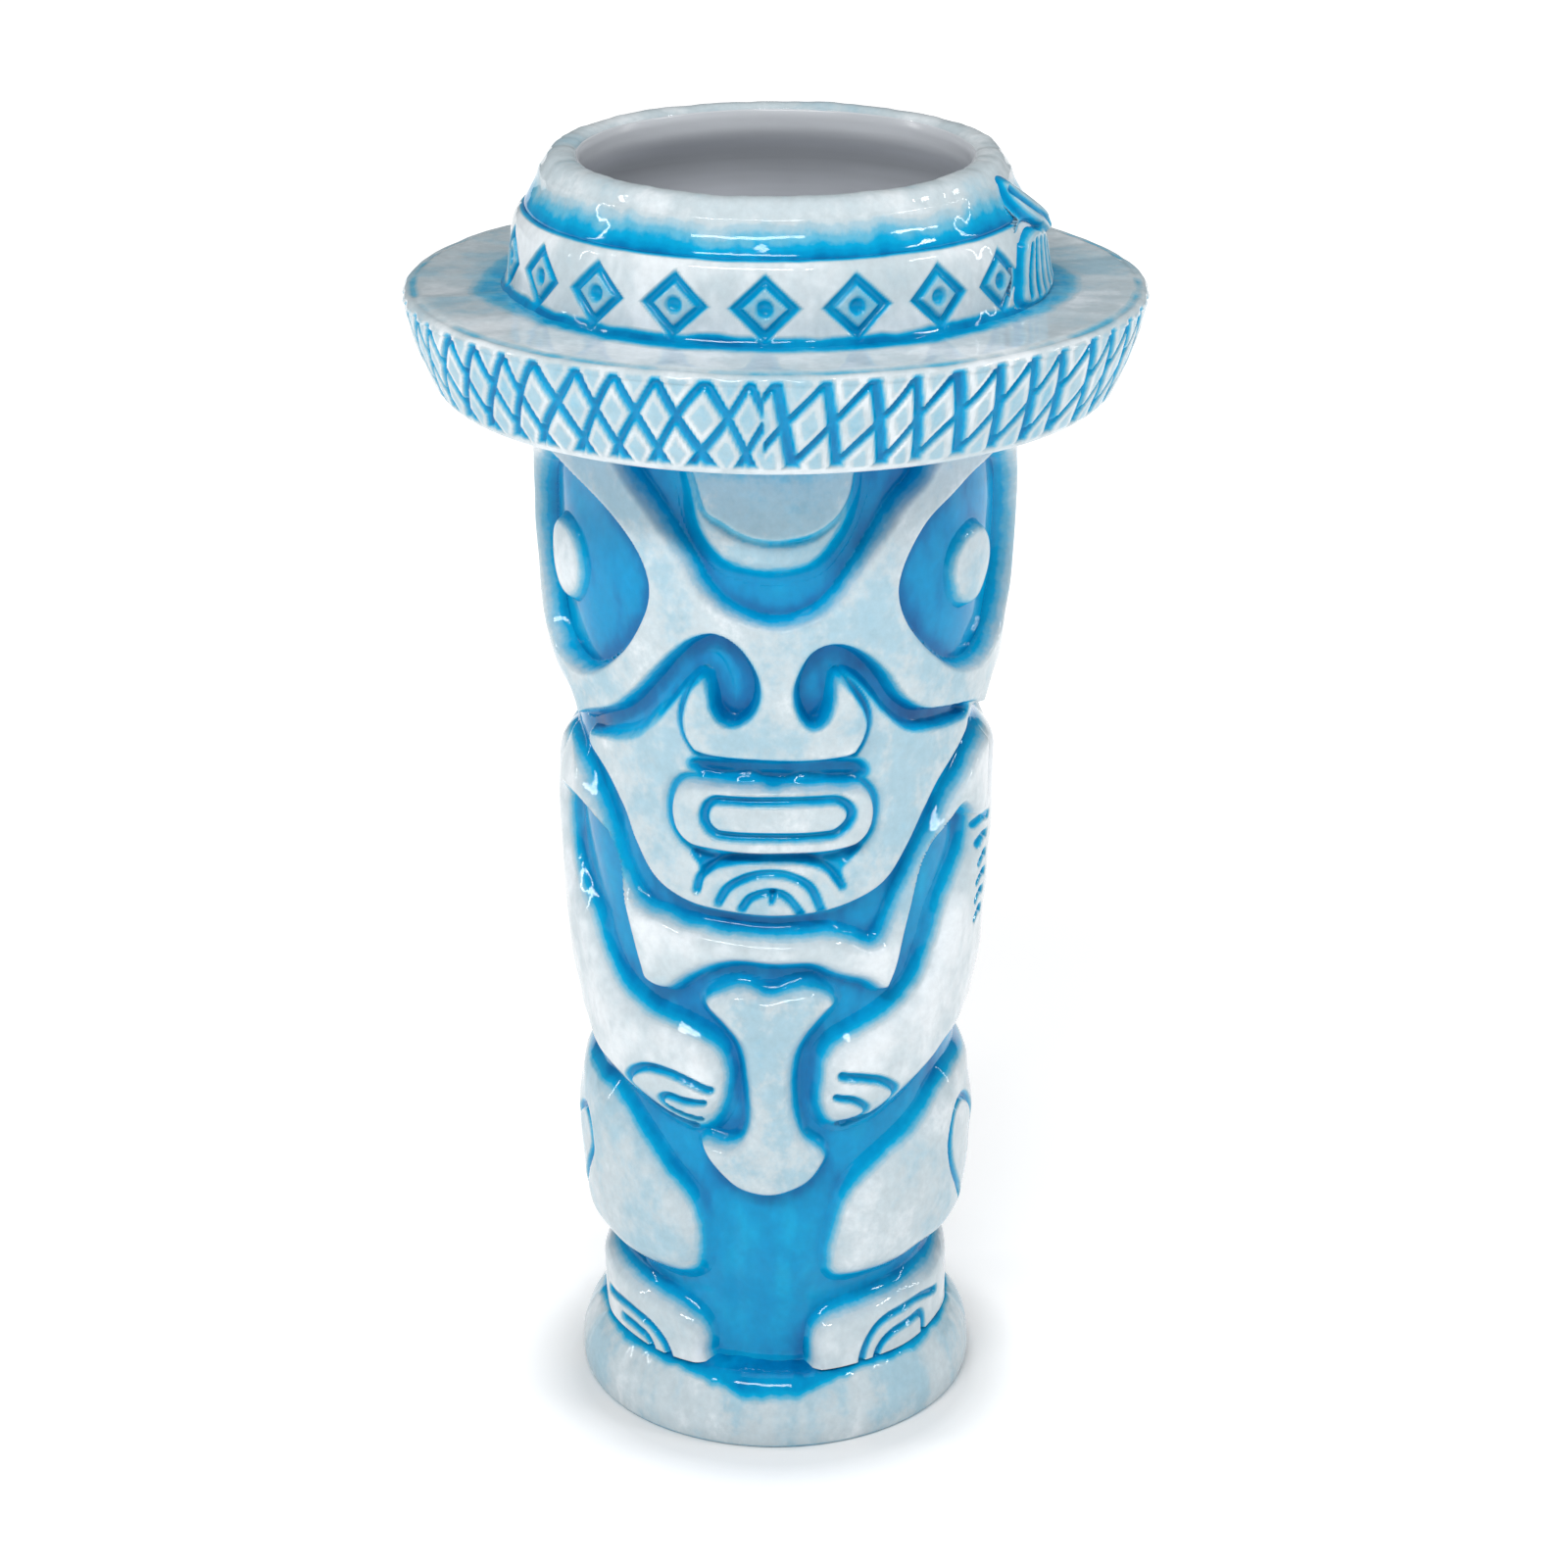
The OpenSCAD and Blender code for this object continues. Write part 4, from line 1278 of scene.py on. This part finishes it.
def shaded(tree, colour, factor):
    """A colour multiplied by a factor."""
    made = node_of(tree, "ShaderNodeMix", data_type="RGBA", blend_type="MULTIPLY")
    made.inputs["Factor"].default_value = 1.0
    tree.links.new(colour, made.inputs["A"])
    tree.links.new(factor, made.inputs["B"])
    return made.outputs["Result"]


print("node helpers ready")

# %% [markdown]
# How much blue shows is worked out from the glaze value, which also carries the painted shade, and `hollow`.
# Noise breaks up the edges of the blue as water does, but only where that value is neither empty nor full;
# faint clouds drift over the pale places; and patches with the corners of the carving make the deep blue
# uneven.

# %% Depth of the blue


def blue_depth(tree, coordinates):
    """Amount of blue from 0 to 1 at each point."""
    pool_and_shade_value = node_of(tree, "ShaderNodeAttribute", attribute_name="pool").outputs["Fac"]
    hollow_value = node_of(tree, "ShaderNodeAttribute", attribute_name="hollow").outputs["Fac"]
    fine = noise(tree, coordinates, 1100, 3)
    broad = noise(tree, coordinates, 260, 4)
    clouds = noise(tree, coordinates, 70, 4, 0.62, (1, 1, 0.7))
    patches = noise(tree, coordinates, 150, 3, 0.6, (1, 1, 0.5))
    edge = maths(tree, "MULTIPLY", maths(tree, "SUBTRACT", fine, 0.5), 0.45)
    edge = maths(tree, "ADD", edge, maths(tree, "MULTIPLY", maths(tree, "SUBTRACT", broad, 0.5), 0.80))
    middle = maths(tree, "MULTIPLY", pool_and_shade_value, maths(tree, "SUBTRACT", 1.0, pool_and_shade_value))
    broken = maths(tree, "MULTIPLY", maths(tree, "MULTIPLY", middle, 2.4), edge)
    amount = maths(tree, "ADD", pool_and_shade_value, broken)
    cloud = maths(tree, "MULTIPLY", maths(tree, "SUBTRACT", clouds, 0.40, True), 0.36)
    amount = maths(tree, "ADD", amount, cloud, True)
    uneven = maths(tree, "MULTIPLY", maths(tree, "SUBTRACT", patches, 0.5), 1.5)
    gathered = maths(tree, "ADD", maths(tree, "MULTIPLY", hollow_value, 0.55), uneven)
    deep = maths(tree, "MULTIPLY", maths(tree, "MULTIPLY", gathered, pool_and_shade_value), 0.5)
    return maths(tree, "ADD", maths(tree, "MULTIPLY", amount, 0.60), deep, True)


print("blue depth ready")

# %% [markdown]
# The colour runs from pale to navy through turquoise as the blue gets deeper, and a fine speckle keeps it
# from looking printed. The shader is a hard, clear gloss with the slightest orange peel.

# %% Running glaze


def glaze(name, colours):
    """Glossy glaze whose colour runs through the given stops as the blue gets deeper."""
    material = bpy.data.materials.new(name)
    material.use_nodes = True
    tree = material.node_tree
    shader = tree.nodes["Principled BSDF"]
    coordinates = node_of(tree, "ShaderNodeTexCoord").outputs["Object"]
    colour = ramp_of(tree, blue_depth(tree, coordinates), colours, "EASE")
    speckle = scaled(tree, noise(tree, coordinates, 620, 4, 0.7), 0.25, 0.75, 0.90, 1.06)
    tree.links.new(shaded(tree, colour, speckle), shader.inputs["Base Color"])
    peel = node_of(tree, "ShaderNodeBump", Strength=0.10, Distance=0.0004)
    tree.links.new(noise(tree, coordinates, 320, 2), peel.inputs["Height"])
    tree.links.new(peel.outputs["Normal"], shader.inputs["Normal"])
    shader.inputs["Roughness"].default_value = 0.05
    shader.inputs["IOR"].default_value = 1.5
    shader.inputs["Specular IOR Level"].default_value = 0.19
    return material


PALE = (0.80, 0.85, 0.88)
GLAZE_STOPS = [(0.0, PALE), (0.045, (0.57, 0.66, 0.70)), (0.09, (0.40, 0.58, 0.67)),
               (0.25, (0.13, 0.47, 0.66)), (0.42, (0.002, 0.37, 0.66)), (0.62, (0.0, 0.29, 0.58)),
               (0.84, (0.0, 0.175, 0.43)), (1.0, (0.0, 0.12, 0.34))]
outside_glaze = glaze("running_glaze", GLAZE_STOPS)

print("glaze with", len(GLAZE_STOPS), "stops of colour")

# %% [markdown]
# The liner has a plain grey glaze. Its grey is painted paler at the lip and darker in a belt just behind it,
# as painted light and painted shadow where the wall widens under the lip; it keeps faint rings from the
# sponge that wiped it round.

# %% Liner glaze
SHADE_BELT_LOW, SHADE_BELT_HIGH = 178.0, 188.0
SHADE_BELT_GREYS = ((0.25, 0.50), (0.55, 0.40), (0.8, 0.60))


def grey_glaze():
    material = bpy.data.materials.new("grey_liner_glaze")
    material.use_nodes = True
    tree = material.node_tree
    shader = tree.nodes["Principled BSDF"]
    coordinates = node_of(tree, "ShaderNodeTexCoord").outputs["Object"]
    split = node_of(tree, "ShaderNodeSeparateXYZ")
    tree.links.new(coordinates, split.inputs[0])
    # Painted light and shade by height alone: paler at the lip, darker in the belt just behind it, and a
    # little lighter again below.
    height = scaled(tree, split.outputs["Z"], SHADE_BELT_LOW * MM, SHADE_BELT_HIGH * MM, 0.0, 1.0)
    stops = [(0.0, (0.62, 0.65, 0.70))]
    stops += [(at, (0.95 * grey, grey, 1.08 * grey)) for at, grey in SHADE_BELT_GREYS]
    stops += [(1.0, (0.68, 0.71, 0.75))]
    rings = scaled(tree, noise(tree, coordinates, 45, 4, 0.6, (0.3, 0.3, 4.0)), 0.3, 0.7, 0.82, 1.05)
    tree.links.new(shaded(tree, ramp_of(tree, height, stops), rings), shader.inputs["Base Color"])
    shader.inputs["Roughness"].default_value = 0.22
    return material


liner.data.materials.append(grey_glaze())
print("liner glazed")

# %% [markdown]
# ## Finishing
#
# Every outside piece takes the running glaze.

# %% Glaze the pieces
for piece in [*figure.values(), cup, plinth, brim, band, knot]:
    piece.data.materials.append(outside_glaze)
print("pieces glazed:", len(figure) + 6)
